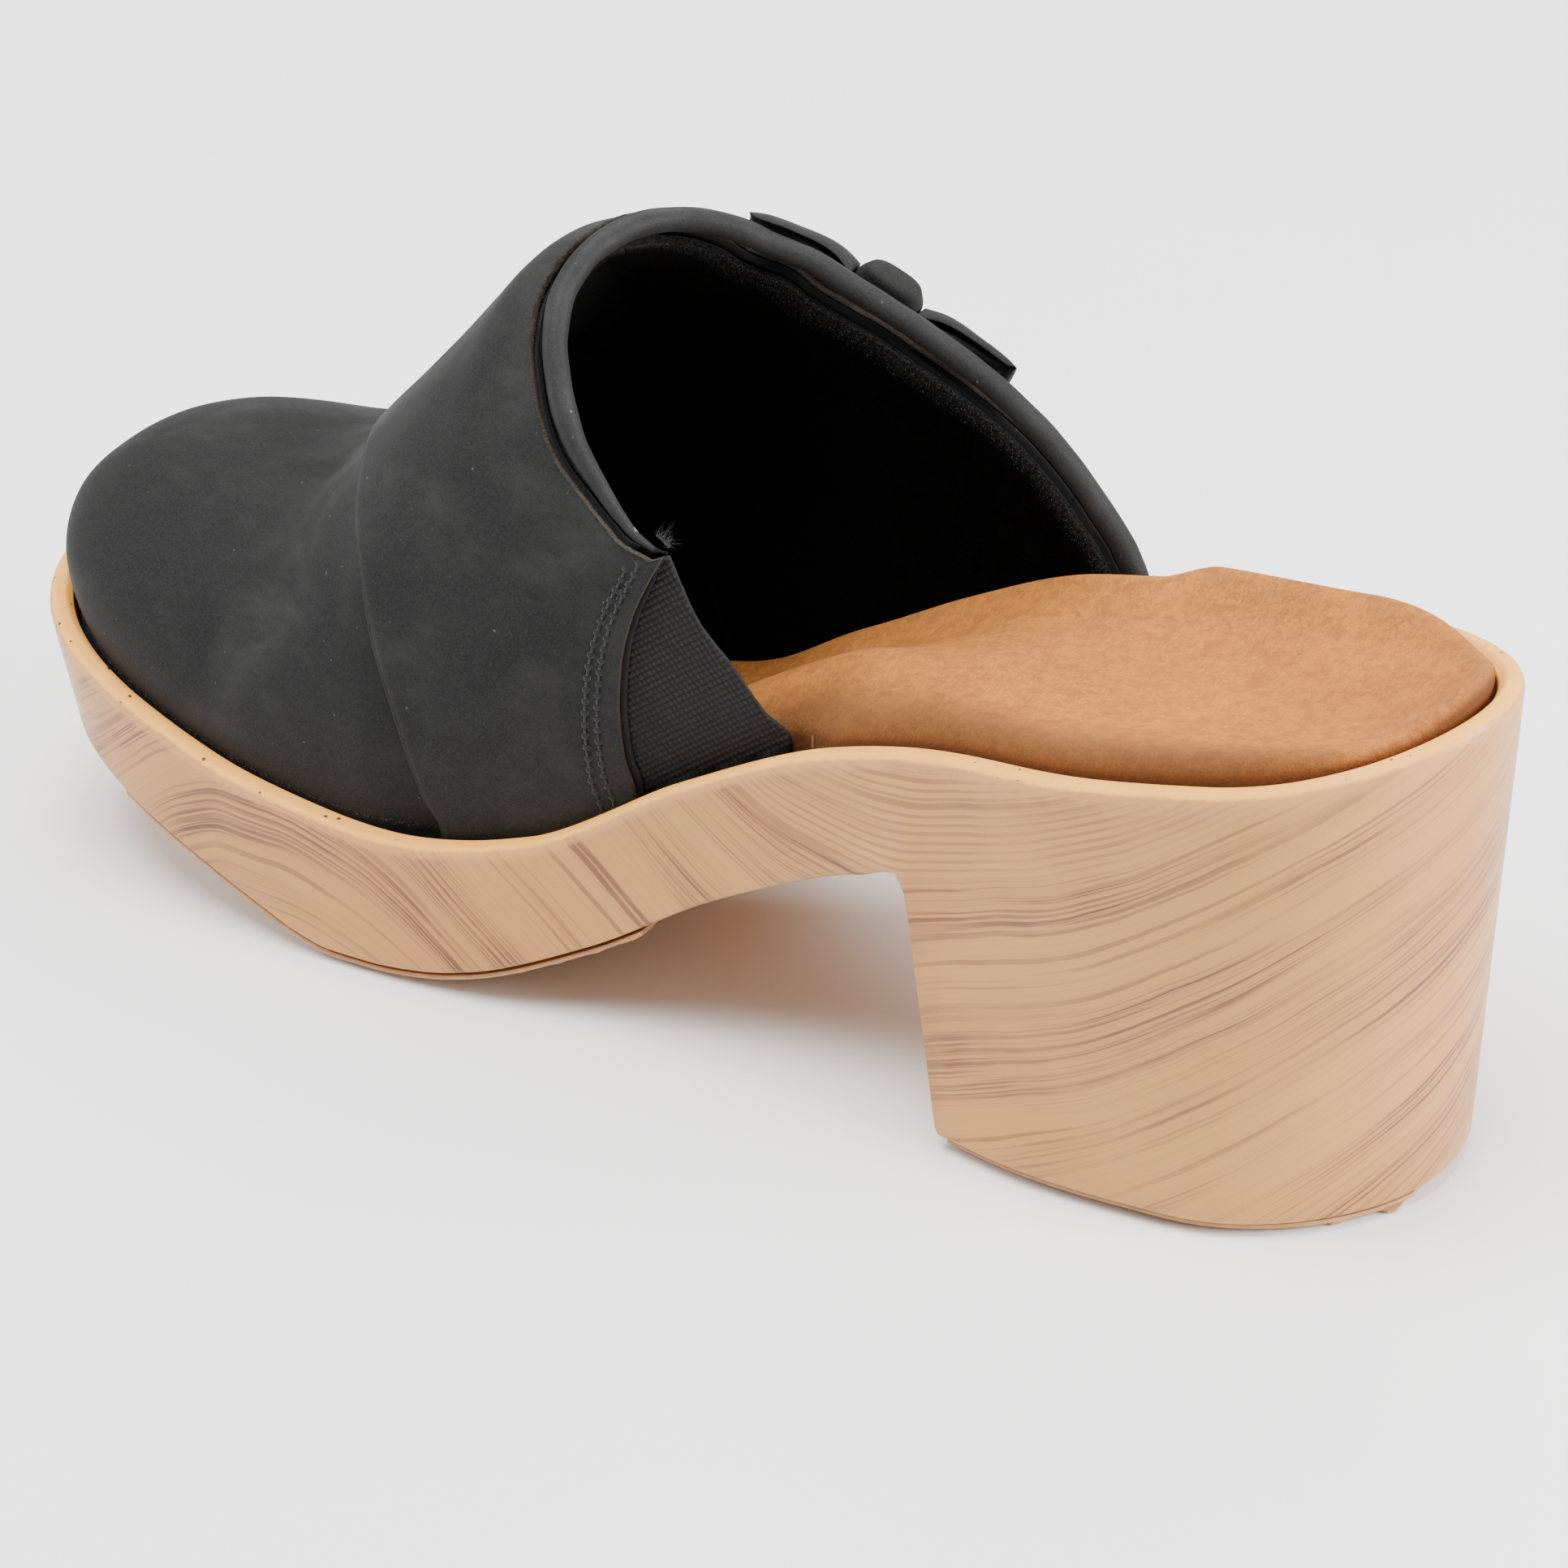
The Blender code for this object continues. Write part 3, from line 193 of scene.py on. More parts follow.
def curve(table, x):
    """Smooth curve through (position, value) pairs that never overshoots."""
    xs, ys = np.array(table, float).T
    step = np.diff(xs)
    lean = leans(np.diff(ys) / step)
    x = np.clip(np.asarray(x, float), xs[0], xs[-1])
    i = np.clip(np.searchsorted(xs, x, side="right") - 1, 0, len(step) - 1)
    return cubic((x - xs[i]) / step[i], step[i], ys[i], ys[i + 1], lean[i], lean[i + 1])


def ease(t):
    """Smooth step from 0 to 1."""
    t = np.clip(t, 0, 1)
    return t * t * (3 - 2 * t)


def unit(vectors):
    """Directions of length 1, for one vector or a grid of them."""
    if vectors.ndim == 1:
        return vectors / np.linalg.norm(vectors)
    return vectors / np.linalg.norm(vectors, axis=-1)[..., None]


def distance_run(points):
    """Distance covered at each point of a path."""
    return np.concatenate([[0], np.cumsum(np.linalg.norm(np.diff(points, axis=0), axis=1))])


def square_to(path, way):
    """Two directions square to a path, the first leaning towards way."""
    ahead = unit(np.gradient(path, axis=0))
    up = unit(way - np.sum(way * ahead, 1)[:, None] * ahead)
    return up, np.cross(ahead, up)


# ---------------------------------------------------------------- mesh helpers

def link(name, data):
    """New object in the scene."""
    obj = bpy.data.objects.new(name, data)
    bpy.context.scene.collection.objects.link(obj)
    return obj


def piece(name, verts, faces, mat, node=None, marks=None, smooth=True):
    """Piece from millimetre points that stands for a node; marks are values on its points."""
    pts = np.array(verts, float)
    pts[:, 0] -= LENGTH / 2
    pts[:, 1] += SIDE_SHIFT
    mesh = bpy.data.meshes.new(name)
    mesh.from_pydata([tuple(p) for p in pts * MM], [], faces)
    for key, values in (marks or {}).items():
        layer = mesh.attributes.new(key, "FLOAT", "POINT")
        layer.data.foreach_set("value", np.asarray(values, np.float32))
    bm = bmesh.new()
    bm.from_mesh(mesh)
    bmesh.ops.remove_doubles(bm, verts=bm.verts, dist=0.000002)
    bmesh.ops.recalc_face_normals(bm, faces=bm.faces)
    if bm.calc_volume(signed=True) < 0:
        bmesh.ops.reverse_faces(bm, faces=bm.faces)
    for face in bm.faces:
        face.smooth = smooth
    bm.to_mesh(mesh)
    bm.free()
    mesh.materials.append(mat)
    obj = link(name, mesh)
    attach(obj, "root")
    if node:
        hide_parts(node)
    return obj


def tube_faces(rows, cols, start=0, closed=True):
    """Quads between successive rows of points."""
    faces = []
    last = cols if closed else cols - 1
    for k in range(rows - 1):
        for j in range(last):
            a = start + k * cols + j
            b = start + k * cols + (j + 1) % cols
            faces.append((a, b, b + cols, a + cols))
    return faces


def border(rows, cols):
    """Indices round the edge of a grid."""
    edge = list(range(cols))
    edge += [i * cols + cols - 1 for i in range(1, rows)]
    edge += [(rows - 1) * cols + k for k in range(cols - 2, -1, -1)]
    edge += [i * cols for i in range(rows - 2, 0, -1)]
    return edge


def slab(outer, inner, roll=0.3, steps=3):
    """Closed body between two grids of points, its edge rounded outwards by roll."""
    rows, cols = outer.shape[:2]
    size = rows * cols
    flat = outer.reshape(-1, 3)
    deep = inner.reshape(-1, 3)
    edge = border(rows, cols)
    beside = []
    for index in edge:
        i = min(max(index // cols, 1), rows - 2)
        k = min(max(index % cols, 1), cols - 2)
        beside.append(i * cols + k)
    away = flat[edge] - flat[beside]
    away = away / np.maximum(np.linalg.norm(away, axis=1), 1e-9)[:, None]
    verts = [flat, deep]
    for k in range(1, steps + 1):
        t = k / (steps + 1)
        mid = flat[edge] * (1 - t) + deep[edge] * t
        verts.append(mid + away * roll * math.sin(math.pi * t))
    faces = tube_faces(rows, cols, 0, False) + tube_faces(rows, cols, size, False)
    count = len(edge)
    rings = [list(edge)]
    rings += [list(range(2 * size + k * count, 2 * size + (k + 1) * count)) for k in range(steps)]
    rings += [[size + e for e in edge]]
    for one, two in zip(rings[:-1], rings[1:]):
        for j in range(count):
            n = (j + 1) % count
            faces.append((one[j], one[n], two[n], two[j]))
    rim_mark = np.zeros(2 * size + steps * count)
    rim_mark[2 * size:] = 1.0
    return np.concatenate(verts), faces, rim_mark


def span(rows_in, faces, loop, count, across):
    """Fills a loop from side to side; rows_in holds points with their marks."""
    lines = []
    for i in range(count):
        if i in (0, count - 1):
            lines.append([loop[i]])
            continue
        left = rows_in[loop[i]]
        right = rows_in[loop[2 * count - 2 - i]]
        line = [loop[i]]
        for k in range(1, across):
            line.append(len(rows_in))
            rows_in.append(left + (right - left) * k / across)
        line.append(loop[2 * count - 2 - i])
        lines.append(line)
    for one, two in zip(lines[:-1], lines[1:]):
        for k in range(max(len(one), len(two)) - 1):
            if len(one) == 1:
                faces.append((one[0], two[k], two[k + 1]))
            elif len(two) == 1:
                faces.append((one[k], two[0], one[k + 1]))
            else:
                faces.append((one[k], two[k], two[k + 1], one[k + 1]))


def sweep(centre, up, side, radius, sides):
    """Rows of points round a path, at one radius for each point of the path."""
    pts = []
    for k in range(sides):
        a = 2 * math.pi * k / sides
        pts.append(centre + radius * (math.cos(a) * up + math.sin(a) * side))
    return np.stack(pts, 1)


def capped_tube(rows, verts, faces):
    """Adds a closed tube made of rows of points."""
    start = len(verts)
    count, sides = rows.shape[:2]
    verts.extend(rows.reshape(-1, 3))
    faces.extend(tube_faces(count, sides, start))
    faces.append(tuple(range(start, start + sides)))
    faces.append(tuple(range(start + (count - 1) * sides, start + count * sides)))


# ---------------------------------------------------------------- shader helpers

def srgb(red, green, blue):
    """Display colour 0..255 turned into linear values."""
    out = []
    for value in (red, green, blue):
        c = value / 255.0
        out.append(c / 12.92 if c <= 0.04045 else ((c + 0.055) / 1.055) ** 2.4)
    return (out[0], out[1], out[2], 1.0)


def add(tree, kind, links=None, **settings):
    """New node with its settings and its inputs, given as values or sockets."""
    node = tree.nodes.new(kind)
    for key, value in settings.items():
        setattr(node, key, value)
    for key, value in (links or {}).items():
        if isinstance(value, bpy.types.NodeSocket):
            tree.links.new(value, node.inputs[key])
        else:
            node.inputs[key].default_value = value
    return node


def surface(name, roughness, sheen=0.0, sheen_roughness=0.4, specular=0.5, metallic=0.0):
    """Material with its shader; numbers that stay the same sit on the shader itself."""
    mat = bpy.data.materials.new(name)
    mat.use_nodes = True
    shader = mat.node_tree.nodes["Principled BSDF"]
    shader.inputs["Roughness"].default_value = roughness
    shader.inputs["Metallic"].default_value = metallic
    shader.inputs["Specular IOR Level"].default_value = specular
    shader.inputs["Sheen Weight"].default_value = sheen
    shader.inputs["Sheen Roughness"].default_value = sheen_roughness
    return mat, mat.node_tree, shader


def millimetres(tree, stretch=(1, 1, 1), turn=(0, 0, 0)):
    """Object coordinates in millimetres."""
    where = add(tree, "ShaderNodeTexCoord").outputs["Object"]
    scale = tuple(1000.0 * s for s in stretch)
    return add(tree, "ShaderNodeMapping", {"Vector": where, "Scale": scale,
                                           "Rotation": turn}).outputs[0]


def mark(tree, name):
    """Value kept on the points of the mesh."""
    return add(tree, "ShaderNodeAttribute", attribute_name=name).outputs["Fac"]


def noise(tree, where, size, detail=3.0, rough=0.55, warp=0.0):
    """Noise whose blobs are about size millimetres across."""
    return add(tree, "ShaderNodeTexNoise", {"Vector": where, "Scale": 1.0 / size, "Detail": detail,
                                            "Roughness": rough, "Distortion": warp}).outputs["Fac"]


def calc(tree, operation, a, b=0.0, clamp=False):
    return add(tree, "ShaderNodeMath", {0: a, 1: b}, operation=operation,
               use_clamp=clamp).outputs[0]


def times(tree, a, b, clamp=False):
    return calc(tree, "MULTIPLY", a, b, clamp)


def remap(tree, value, low, high, to_low=0.0, to_high=1.0):
    """Smooth step of a value between two limits."""
    return add(tree, "ShaderNodeMapRange", {"Value": value, "From Min": low, "From Max": high,
                                            "To Min": to_low, "To Max": to_high},
               interpolation_type="SMOOTHSTEP").outputs["Result"]


def mix(tree, share, one, two, way="MIX"):
    node = add(tree, "ShaderNodeMix", {0: share, 6: one, 7: two}, data_type="RGBA",
               blend_type=way)
    return node.outputs[2]


def bump(tree, height, distance, strength=1.0, normal=None):
    """Bump whose full height is distance millimetres."""
    links = {"Height": height, "Distance": distance * MM, "Strength": strength}
    if normal is not None:
        links["Normal"] = normal
    return add(tree, "ShaderNodeBump", links).outputs[0]


def finish_shader(tree, shader, colour, normal=None, roughness=None):
    tree.links.new(colour, shader.inputs["Base Color"])
    if normal is not None:
        tree.links.new(normal, shader.inputs["Normal"])
    if roughness is not None:
        tree.links.new(roughness, shader.inputs["Roughness"])


# ---------------------------------------------------------------- materials

def nubuck(name, dark, light, edge=None, roughness=0.72):
    """Buffed leather: cloudy scuffs, fine nap, faint wrinkles; raw fibre on cut edges."""
    mat, tree, shader = surface(name, roughness, sheen=0.02, sheen_roughness=0.45, specular=0.16)
    where = millimetres(tree)
    clouds = remap(tree, noise(tree, where, 22, 4, 0.6, 0.6), 0.32, 0.72)
    streaks = noise(tree, millimetres(tree, (0.35, 1, 1), (0.3, 0.2, 0.5)), 9, 4, 0.65, 0.3)
    patch = times(tree, clouds, remap(tree, streaks, 0.35, 0.75), True)
    nap = noise(tree, where, 0.35, 3, 0.7)
    tone = mix(tree, patch, srgb(*dark), srgb(*light))
    tone = mix(tree, remap(tree, nap, 0.3, 0.75, 0.0, 0.35), tone, srgb(*[c + 14 for c in light]))
    lint = noise(tree, where, 1.1, 1, 0.4)
    tone = mix(tree, remap(tree, lint, 0.78, 0.84, 0.0, 0.6), tone, srgb(96, 96, 95))
    if edge is not None:
        raw = times(tree, mark(tree, "edge"), remap(tree, noise(tree, where, 0.5), 0.2, 0.6))
        tone = mix(tree, raw, tone, srgb(*edge))
    wrinkle = noise(tree, where, 1.6, 3, 0.6, 0.5)
    relief = bump(tree, wrinkle, 0.10, 0.5)
    relief = bump(tree, nap, 0.07, 0.8, relief)
    rough = remap(tree, clouds, 0, 1, roughness + 0.06, roughness - 0.06)
    finish_shader(tree, shader, tone, relief, rough)
    return mat


def wood_print():
    """Moulded sole with a printed pine grain and a bare rim."""
    mat, tree, shader = surface("wood_look_sole", 0.4, specular=0.45)
    where = millimetres(tree)
    run = mark(tree, "run")
    grain = mark(tree, "grain")
    drift = times(tree, calc(tree, "SUBTRACT", noise(tree, where, 30, 2), 0.5), 3.0)
    level = calc(tree, "ADD", grain, drift)

    def lines(across, along, detail, rough, seed):
        spot = add(tree, "ShaderNodeCombineXYZ",
                   {"X": times(tree, run, 1.0 / along),
                    "Y": times(tree, level, 1.0 / across), "Z": seed}).outputs[0]
        return add(tree, "ShaderNodeTexNoise", {"Vector": spot, "Scale": 1.0, "Detail": detail,
                                                "Roughness": rough}).outputs["Fac"]

    bundles = remap(tree, lines(8.0, 110.0, 2, 0.5, 3.7), 0.45, 0.60)
    strands = remap(tree, lines(0.75, 60.0, 2, 0.55, 8.1), 0.47, 0.58)
    singles = remap(tree, lines(1.5, 90.0, 1, 0.4, 5.2), 0.60, 0.68)
    hair = lines(0.35, 30.0, 2, 0.6, 1.3)
    wave = calc(tree, "SINE", times(tree, level, 2 * math.pi / 1.5))
    near_waist = remap(tree, grain, 40, 47)
    rings = times(tree, remap(tree, wave, -0.1, 0.9), near_waist)
    amount = times(tree, bundles, calc(tree, "ADD", times(tree, strands, 0.85), 0.15))
    amount = calc(tree, "MAXIMUM", amount, times(tree, singles, 0.62))
    amount = calc(tree, "MAXIMUM", amount, times(tree, rings, 0.5))
    fade = remap(tree, noise(tree, where, 17, 2), 0.3, 0.6, 0.55, 1.0)
    amount = times(tree, amount, fade, True)
    base = mix(tree, noise(tree, where, 30, 2), srgb(176, 122, 62), srgb(196, 140, 76))
    base = mix(tree, remap(tree, hair, 0.4, 0.7, 0.0, 0.3), base, srgb(160, 108, 58))
    tone = mix(tree, amount, base, srgb(114, 68, 40))
    dark = times(tree, amount, remap(tree, lines(5.0, 45.0, 2, 0.5, 12.6), 0.55, 0.7))
    tone = mix(tree, times(tree, dark, 0.7), tone, srgb(84, 50, 34))
    rim_place = calc(tree, "ADD", mark(tree, "edge"),
                     times(tree, calc(tree, "SUBTRACT", noise(tree, where, 2.2, 4), 0.5), 1.4))
    worn = remap(tree, rim_place, -1.9, -0.3)
    tone = mix(tree, times(tree, worn, 0.6), tone, srgb(206, 146, 88))
    bare = remap(tree, rim_place, 0.2, 1.0)
    bare_tone = mix(tree, noise(tree, where, 7, 3), srgb(226, 150, 58), srgb(240, 174, 78))
    tone = mix(tree, bare, tone, bare_tone)
    cells = add(tree, "ShaderNodeTexVoronoi", {"Vector": where, "Scale": 1 / 2.4})
    spots = remap(tree, cells.outputs["Distance"], 0.10, 0.15, 1.0, 0.0)
    holes = times(tree, times(tree, spots, bare),
                 remap(tree, noise(tree, where, 6, 1), 0.5, 0.6))
    tone = mix(tree, holes, tone, srgb(88, 52, 30))
    pimples = add(tree, "ShaderNodeTexVoronoi", {"Vector": where, "Scale": 1 / 1.3}).outputs["Distance"]
    relief = bump(tree, remap(tree, pimples, 0.05, 0.3, 1.0, 0.0), 0.035, 0.7)
    relief = bump(tree, noise(tree, where, 0.25, 2), 0.02, 0.6, relief)
    relief = bump(tree, times(tree, holes, -1.0), 0.4, 1.0, relief)
    rough = remap(tree, noise(tree, where, 5, 3), 0.3, 0.7, 0.36, 0.48)
    rough = calc(tree, "ADD", rough, times(tree, bare, 0.2))
    finish_shader(tree, shader, tone, relief, rough)
    return mat


def microsuede():
    """Footbed cover: short nap that lies in patches and furrows, darker down its sides and along its
    inner border as painted shade.
    """
    mat, tree, shader = surface("footbed_microsuede", 0.9, sheen=0.08, sheen_roughness=0.4,
                                specular=0.2)
    shader.inputs["Sheen Tint"].default_value = srgb(240, 170, 100)
    where = millimetres(tree)
    patches = remap(tree, noise(tree, where, 22, 3, 0.55, 0.6), 0.3, 0.7)
    tufts = noise(tree, millimetres(tree, (1.0, 0.6, 0.6)), 0.5, 4, 0.7, 0.4)
    clumps = noise(tree, where, 2.3, 3, 0.6, 0.6)
    tone = mix(tree, patches, srgb(150, 92, 40), srgb(170, 105, 42))
    tone = mix(tree, remap(tree, tufts, 0.38, 0.65, 0.0, 0.6), tone, srgb(190, 122, 60))
    tone = mix(tree, remap(tree, clumps, 0.35, 0.6, 0.4, 0.0), tone, srgb(116, 70, 37))
    # painted shade: the 'side' mark darkens the cover where it curves down from the top and along its
    # inner border
    low = remap(tree, mark(tree, "side"), 0.3, 4.0)
    tone = mix(tree, times(tree, low, 0.85), tone, srgb(84, 52, 30))
    fuzz = noise(tree, where, 0.22, 2, 0.7)
    relief = bump(tree, clumps, 0.35, 0.5)
    relief = bump(tree, tufts, 0.4, 0.8, relief)
    relief = bump(tree, fuzz, 0.12, 0.7, relief)
    finish_shader(tree, shader, tone, relief)
    return mat


def velvet(name):
    """Deep black pile, with a painted highlight that makes it lighter near its edge by the piping."""
    mat, tree, shader = surface(name, 0.97, sheen=0.04, sheen_roughness=0.3, specular=0.03)
    where = millimetres(tree)
    pile = noise(tree, where, 0.4, 3, 0.7)
    brushed = remap(tree, noise(tree, where, 5, 3, 0.6, 1.0), 0.35, 0.7)
    tone = mix(tree, times(tree, brushed, pile), srgb(2, 2, 2), srgb(9, 9, 9))
    # painted highlight: lighter pile within a few millimetres of the lining's edge
    near = remap(tree, mark(tree, "back"), 2.6, 0.4)
    tone = mix(tree, times(tree, near, remap(tree, pile, 0.3, 0.65)), tone,
               srgb(33, 33, 33))
    relief = bump(tree, pile, 0.25, 0.8)
    finish_shader(tree, shader, tone, relief)
    return mat


def webbing():
    """Elastic yarn: the weave itself is in the mesh; its hollows are painted dark as shade and its
    raised yarn lighter as a painted highlight.
    """
    mat, tree, shader = surface("elastic_yarn", 0.75, sheen=0.04, specular=0.25)
    where = millimetres(tree)
    yarn = noise(tree, where, 0.16, 2, 0.7)
    # painted shade in the weave's hollows and painted highlight on its raised yarn, both from the weave
    # height
    deep = remap(tree, mark(tree, "weave"), 0.3, 0.95)
    tone = mix(tree, deep, srgb(2, 2, 2), srgb(19, 18, 17))
    tone = mix(tree, times(tree, deep, remap(tree, yarn, 0.45, 0.75)), tone,
               srgb(52, 50, 48))
    finish_shader(tree, shader, tone, bump(tree, yarn, 0.06, 0.8))
    return mat


def plain_grain(name, low, high, size, roughness, depth=0.05, metallic=0.0):
    """Cloudy two-tone material with a fine grain, for moulded, pressed and metal pieces."""
    mat, tree, shader = surface(name, roughness, metallic=metallic)
    where = millimetres(tree)
    tone = mix(tree, remap(tree, noise(tree, where, size, 4, 0.65), 0.3, 0.7), srgb(*low), srgb(*high))
    fine = noise(tree, where, size / 6, 3, 0.6)
    rough = remap(tree, fine, 0.3, 0.7, roughness - 0.08, roughness + 0.08)
    finish_shader(tree, shader, tone, bump(tree, fine, depth, 0.7), rough)
    return mat


def fibre_stuff(name, low, high):
    """Loose fibre and thread."""
    mat, tree, shader = surface(name, 0.75, sheen=0.3, specular=0.3)
    tone = mix(tree, remap(tree, noise(tree, millimetres(tree), 0.5, 2), 0.35, 0.65), srgb(*low),
               srgb(*high))
    twist = noise(tree, millimetres(tree, (3, 1, 1)), 0.3, 2)
    finish_shader(tree, shader, tone, bump(tree, twist, 0.05, 0.8))
    return mat


# ---------------------------------------------------------------- sole and footbed

def toe_share(s):
    """From 0 where the toe's rounding starts to 1 at its tip."""
    return np.clip((s - LENGTH + TOE_ROUND) / TOE_ROUND, 0, 1)


def half_width(s):
    s = np.asarray(s, float)
    heel = np.clip(1 - s / HEEL_ROUND, 0, 1)
    toe = toe_share(s)
    return curve(WIDTH, s) * np.sqrt(1 - heel ** 2) * np.sqrt(np.clip(1 - toe ** TOE_POWER, 0, 1))


def stations(heel_steps, toe_steps, middle_step):
    """Positions along the sole, closer together round heel, breast and toe."""
    heel = [HEEL_ROUND * (1 - math.cos(math.pi / 2 * k / heel_steps)) for k in range(heel_steps + 1)]
    toe = [LENGTH - TOE_ROUND * (1 - math.sin(math.pi / 2 * k / toe_steps) ** (1 / 1.2))
           for k in range(toe_steps + 1)]
    middle = list(np.arange(HEEL_ROUND + middle_step, BREAST - 1, middle_step))
    middle += list(np.arange(BREAST, 85, min(middle_step, 0.5)))
    middle += list(np.arange(85 + middle_step, LENGTH - TOE_ROUND - 0.5 * middle_step, middle_step))
    return np.array(heel + middle + toe)


def plan(places):
    """Closed outline points and inward directions: inner side out, outer side back."""
    side = np.concatenate([np.ones(len(places)), -np.ones(len(places) - 2)])
    s = np.concatenate([places, places[-2:0:-1]])
    y = curve(CENTRE, s) + side * half_width(s)
    ahead = unit(np.stack([np.roll(s, -1) - np.roll(s, 1), np.roll(y, -1) - np.roll(y, 1)], 1))
    inward = np.stack([ahead[:, 1], -ahead[:, 0]], 1)
    return s, y, side, inward


def rim(s):
    return curve(RIM, s)


def cup_floor(s):
    return curve(RIM, s) - curve(CUP_DEPTH, s)


def lower(s):
    return curve(LOWER, s)


def ring(places, inset, height, lift=0.0, by_station=False):
    """Outline moved inwards by inset, at the height given along the sole plus lift."""
    s, y, _, inward = plan(places)
    s2 = s + inset * inward[:, 0]
    y2 = y + inset * inward[:, 1]
    return np.stack([s2, y2, height(s if by_station else s2) + lift], 1)


def wall_ring(places, share, inset=0.0, drop=0.0):
    """Outer wall between rim (share 0) and lower edge (share 1), raked at both ends."""
    base = ring(places, inset, rim, by_station=True)
    s = plan(places)[0]
    top = rim(s) - ROLL
    base[:, 2] = top + (lower(s) + FOOT_ROLL - top) * share - drop
    heel = np.clip(1 - s / BREAST, 0, 1)
    base[:, 0] += share * (HEEL_RAKE * heel - TOE_RAKE * toe_share(s))
    flare = HEEL_FLARE * share * np.clip((95 - s) / 15, 0, 1)
    base[:, 1] += flare * (base[:, 1] - curve(CENTRE, s)) / curve(WIDTH, s)
    return base


def grain_marks(places, points):
    """Distance run round the outline, and level across the printed grain lines."""
    s, y, side, _ = plan(places)
    half = len(places)
    step = np.hypot(np.diff(s[:half]), np.diff(y[:half]))
    run = np.concatenate([[0], np.cumsum(step)])
    run = np.concatenate([run, run[-2:0:-1]])
    climb = np.where(side > 0, curve(GRAIN_INNER, run), curve(GRAIN_OUTER, run))
    return run * side, points[:, 2] - climb


def quarter_turn(steps):
    """Angles from 0 to a right angle."""
    return [math.pi / 2 * k / steps for k in range(steps + 1)]


def sole():
    """Fine surface of the unit sole, from the cup's floor over the rim to the lower edge."""
    places = stations(44, 60, 1.2)
    entries = []
    for inset, level in ((15.0, 0.0), (9.0, 0.0), (RIM_WIDTH + 1.2, 0.0), (RIM_WIDTH, 1.2)):
        entries.append((ring(places, inset, cup_floor, level), 12.0))
    for drop in (5.0, 3.0, 1.6, 0.8):
        entries.append((ring(places, RIM_WIDTH, rim, -drop), 4.0 + drop))
    for a in quarter_turn(4):
        inset = RIM_WIDTH - RIM_ROLL * (1 - math.cos(a))
        entries.append((ring(places, inset, rim, -RIM_ROLL * (1 - math.sin(a))), 4.4))
    for share in (0.25, 0.5, 0.75):
        inset = RIM_WIDTH - RIM_ROLL + (1.5 - RIM_WIDTH + RIM_ROLL) * share
        entries.append((ring(places, inset, rim, by_station=True), 0.4 + inset))
    for a in quarter_turn(6):
        inset = 1.5 * (1 - math.sin(a))
        drop = ROLL * (1 - math.cos(a))
        entries.append((ring(places, inset, rim, -drop, True), 2.2 - 2.0 * a))
    for k in range(1, WALL_ROWS + 1):
        share = k / WALL_ROWS
        entries.append((wall_ring(places, share), -1.0 - share * 20))
    for a in quarter_turn(5)[1:]:
        inset = 2.0 * (1 - math.cos(a))
        entries.append((wall_ring(places, 1.0, inset, FOOT_ROLL * math.sin(a)), -30.0))
    rows = []
    for points, edge in entries:
        run, level = grain_marks(places, points)
        marks = np.stack([run, level, np.full(len(points), edge)], 1)
        rows.append(np.concatenate([points, marks], 1))
    cols = len(rows[0])
    data = list(np.concatenate(rows))
    faces = tube_faces(len(rows), cols)
    for start in (0, (len(rows) - 1) * cols):
        span(data, faces, list(range(start, start + cols)), len(places), 24)
    data = np.array(data)
    piece("sole_skin", data[:, :3], faces, wood_print(), "sole_unit",
          {"run": data[:, 3], "grain": data[:, 4], "edge": data[:, 5]})


def tread_rake(s):
    """How far the lean of heel and toe shifts the underside."""
    return TREAD_RAKE * np.clip(1 - s / BREAST, 0, 1) - TOE_RAKE * toe_share(s)


def tread_point(s, y_share, inset):
    """Point of the underside at a share of the half width."""
    half = half_width(s) - inset
    return np.stack([s + tread_rake(s), curve(CENTRE, s) + half * y_share, lower(s)], -1)


def tread_plate(name, node, ends, inset, mat):
    """Outsole plate with rows of wedge lugs and a toothed border."""
    first, last = ends
    s = first + (last - first) * (1 - np.cos(np.linspace(0, math.pi, 60))) / 2
    grid_s, grid_q = np.meshgrid(s, np.linspace(-1, 1, 24), indexing="ij")
    base = tread_point(grid_s, grid_q, inset)
    verts, faces, _ = slab(base - np.array([0, 0, PLATE]), base - np.array([0, 0, GAP]), 0.15, 2)
    verts = list(verts)
    for i in range(int((last - first - 3) / LUG_PITCH)):
        middle = first + 3.5 + LUG_PITCH * i
        half = float(half_width(middle)) - inset - 0.2
        count = max(2, int(2 * half / LUG_WIDTH))
        wide = (half - 0.6) / count - LUG_GAP
        for k in range(count):
            y = (2 * (k + 0.5) / count - 1) * (half - 0.6)
            at_border = k in (0, count - 1)
            long = LUG_PITCH / 2 - (0.35 if at_border else 0.9)
            skew = 0.0 if at_border else LUG_SKEW * (1 if k % 2 else -1)
            wedge(verts, faces, middle, y, long, wide, skew)
    piece(name, np.array(verts), faces, mat, node, smooth=False)


def wedge(verts, faces, s, y, long, wide, skew):
    """One tapered lug with cut corners, standing down from the plate."""
    start = len(verts)
    centre = float(curve(CENTRE, s))
    for level, share in LUG_LEVELS:
        for a, b in LUG_OUTLINE:
            here = s + (a * long * share + skew * b * wide)
            z = float(lower(max(here, 0.0))) - level
            verts.append(np.array([here + tread_rake(s), centre + y + b * wide * share, z]))
    sides = len(LUG_OUTLINE)
    faces.extend(tube_faces(len(LUG_LEVELS), sides, start))
    faces.append(tuple(range(start, start + sides)))
    faces.append(tuple(range(start + 2 * sides, start + 3 * sides)))


def treads():
    """Outsole under the heel and under the ball."""
    rubber = plain_grain("tread_rubber", (168, 122, 78), (188, 140, 92), 3, 0.6, 0.05)
    tread_plate("heel_tread_lugs", "heel_tread", HEEL_TREAD, HEEL_TREAD_INSET, rubber)
    tread_plate("forefoot_tread_lugs", "forefoot_tread", FORE_TREAD, FORE_TREAD_INSET, rubber)


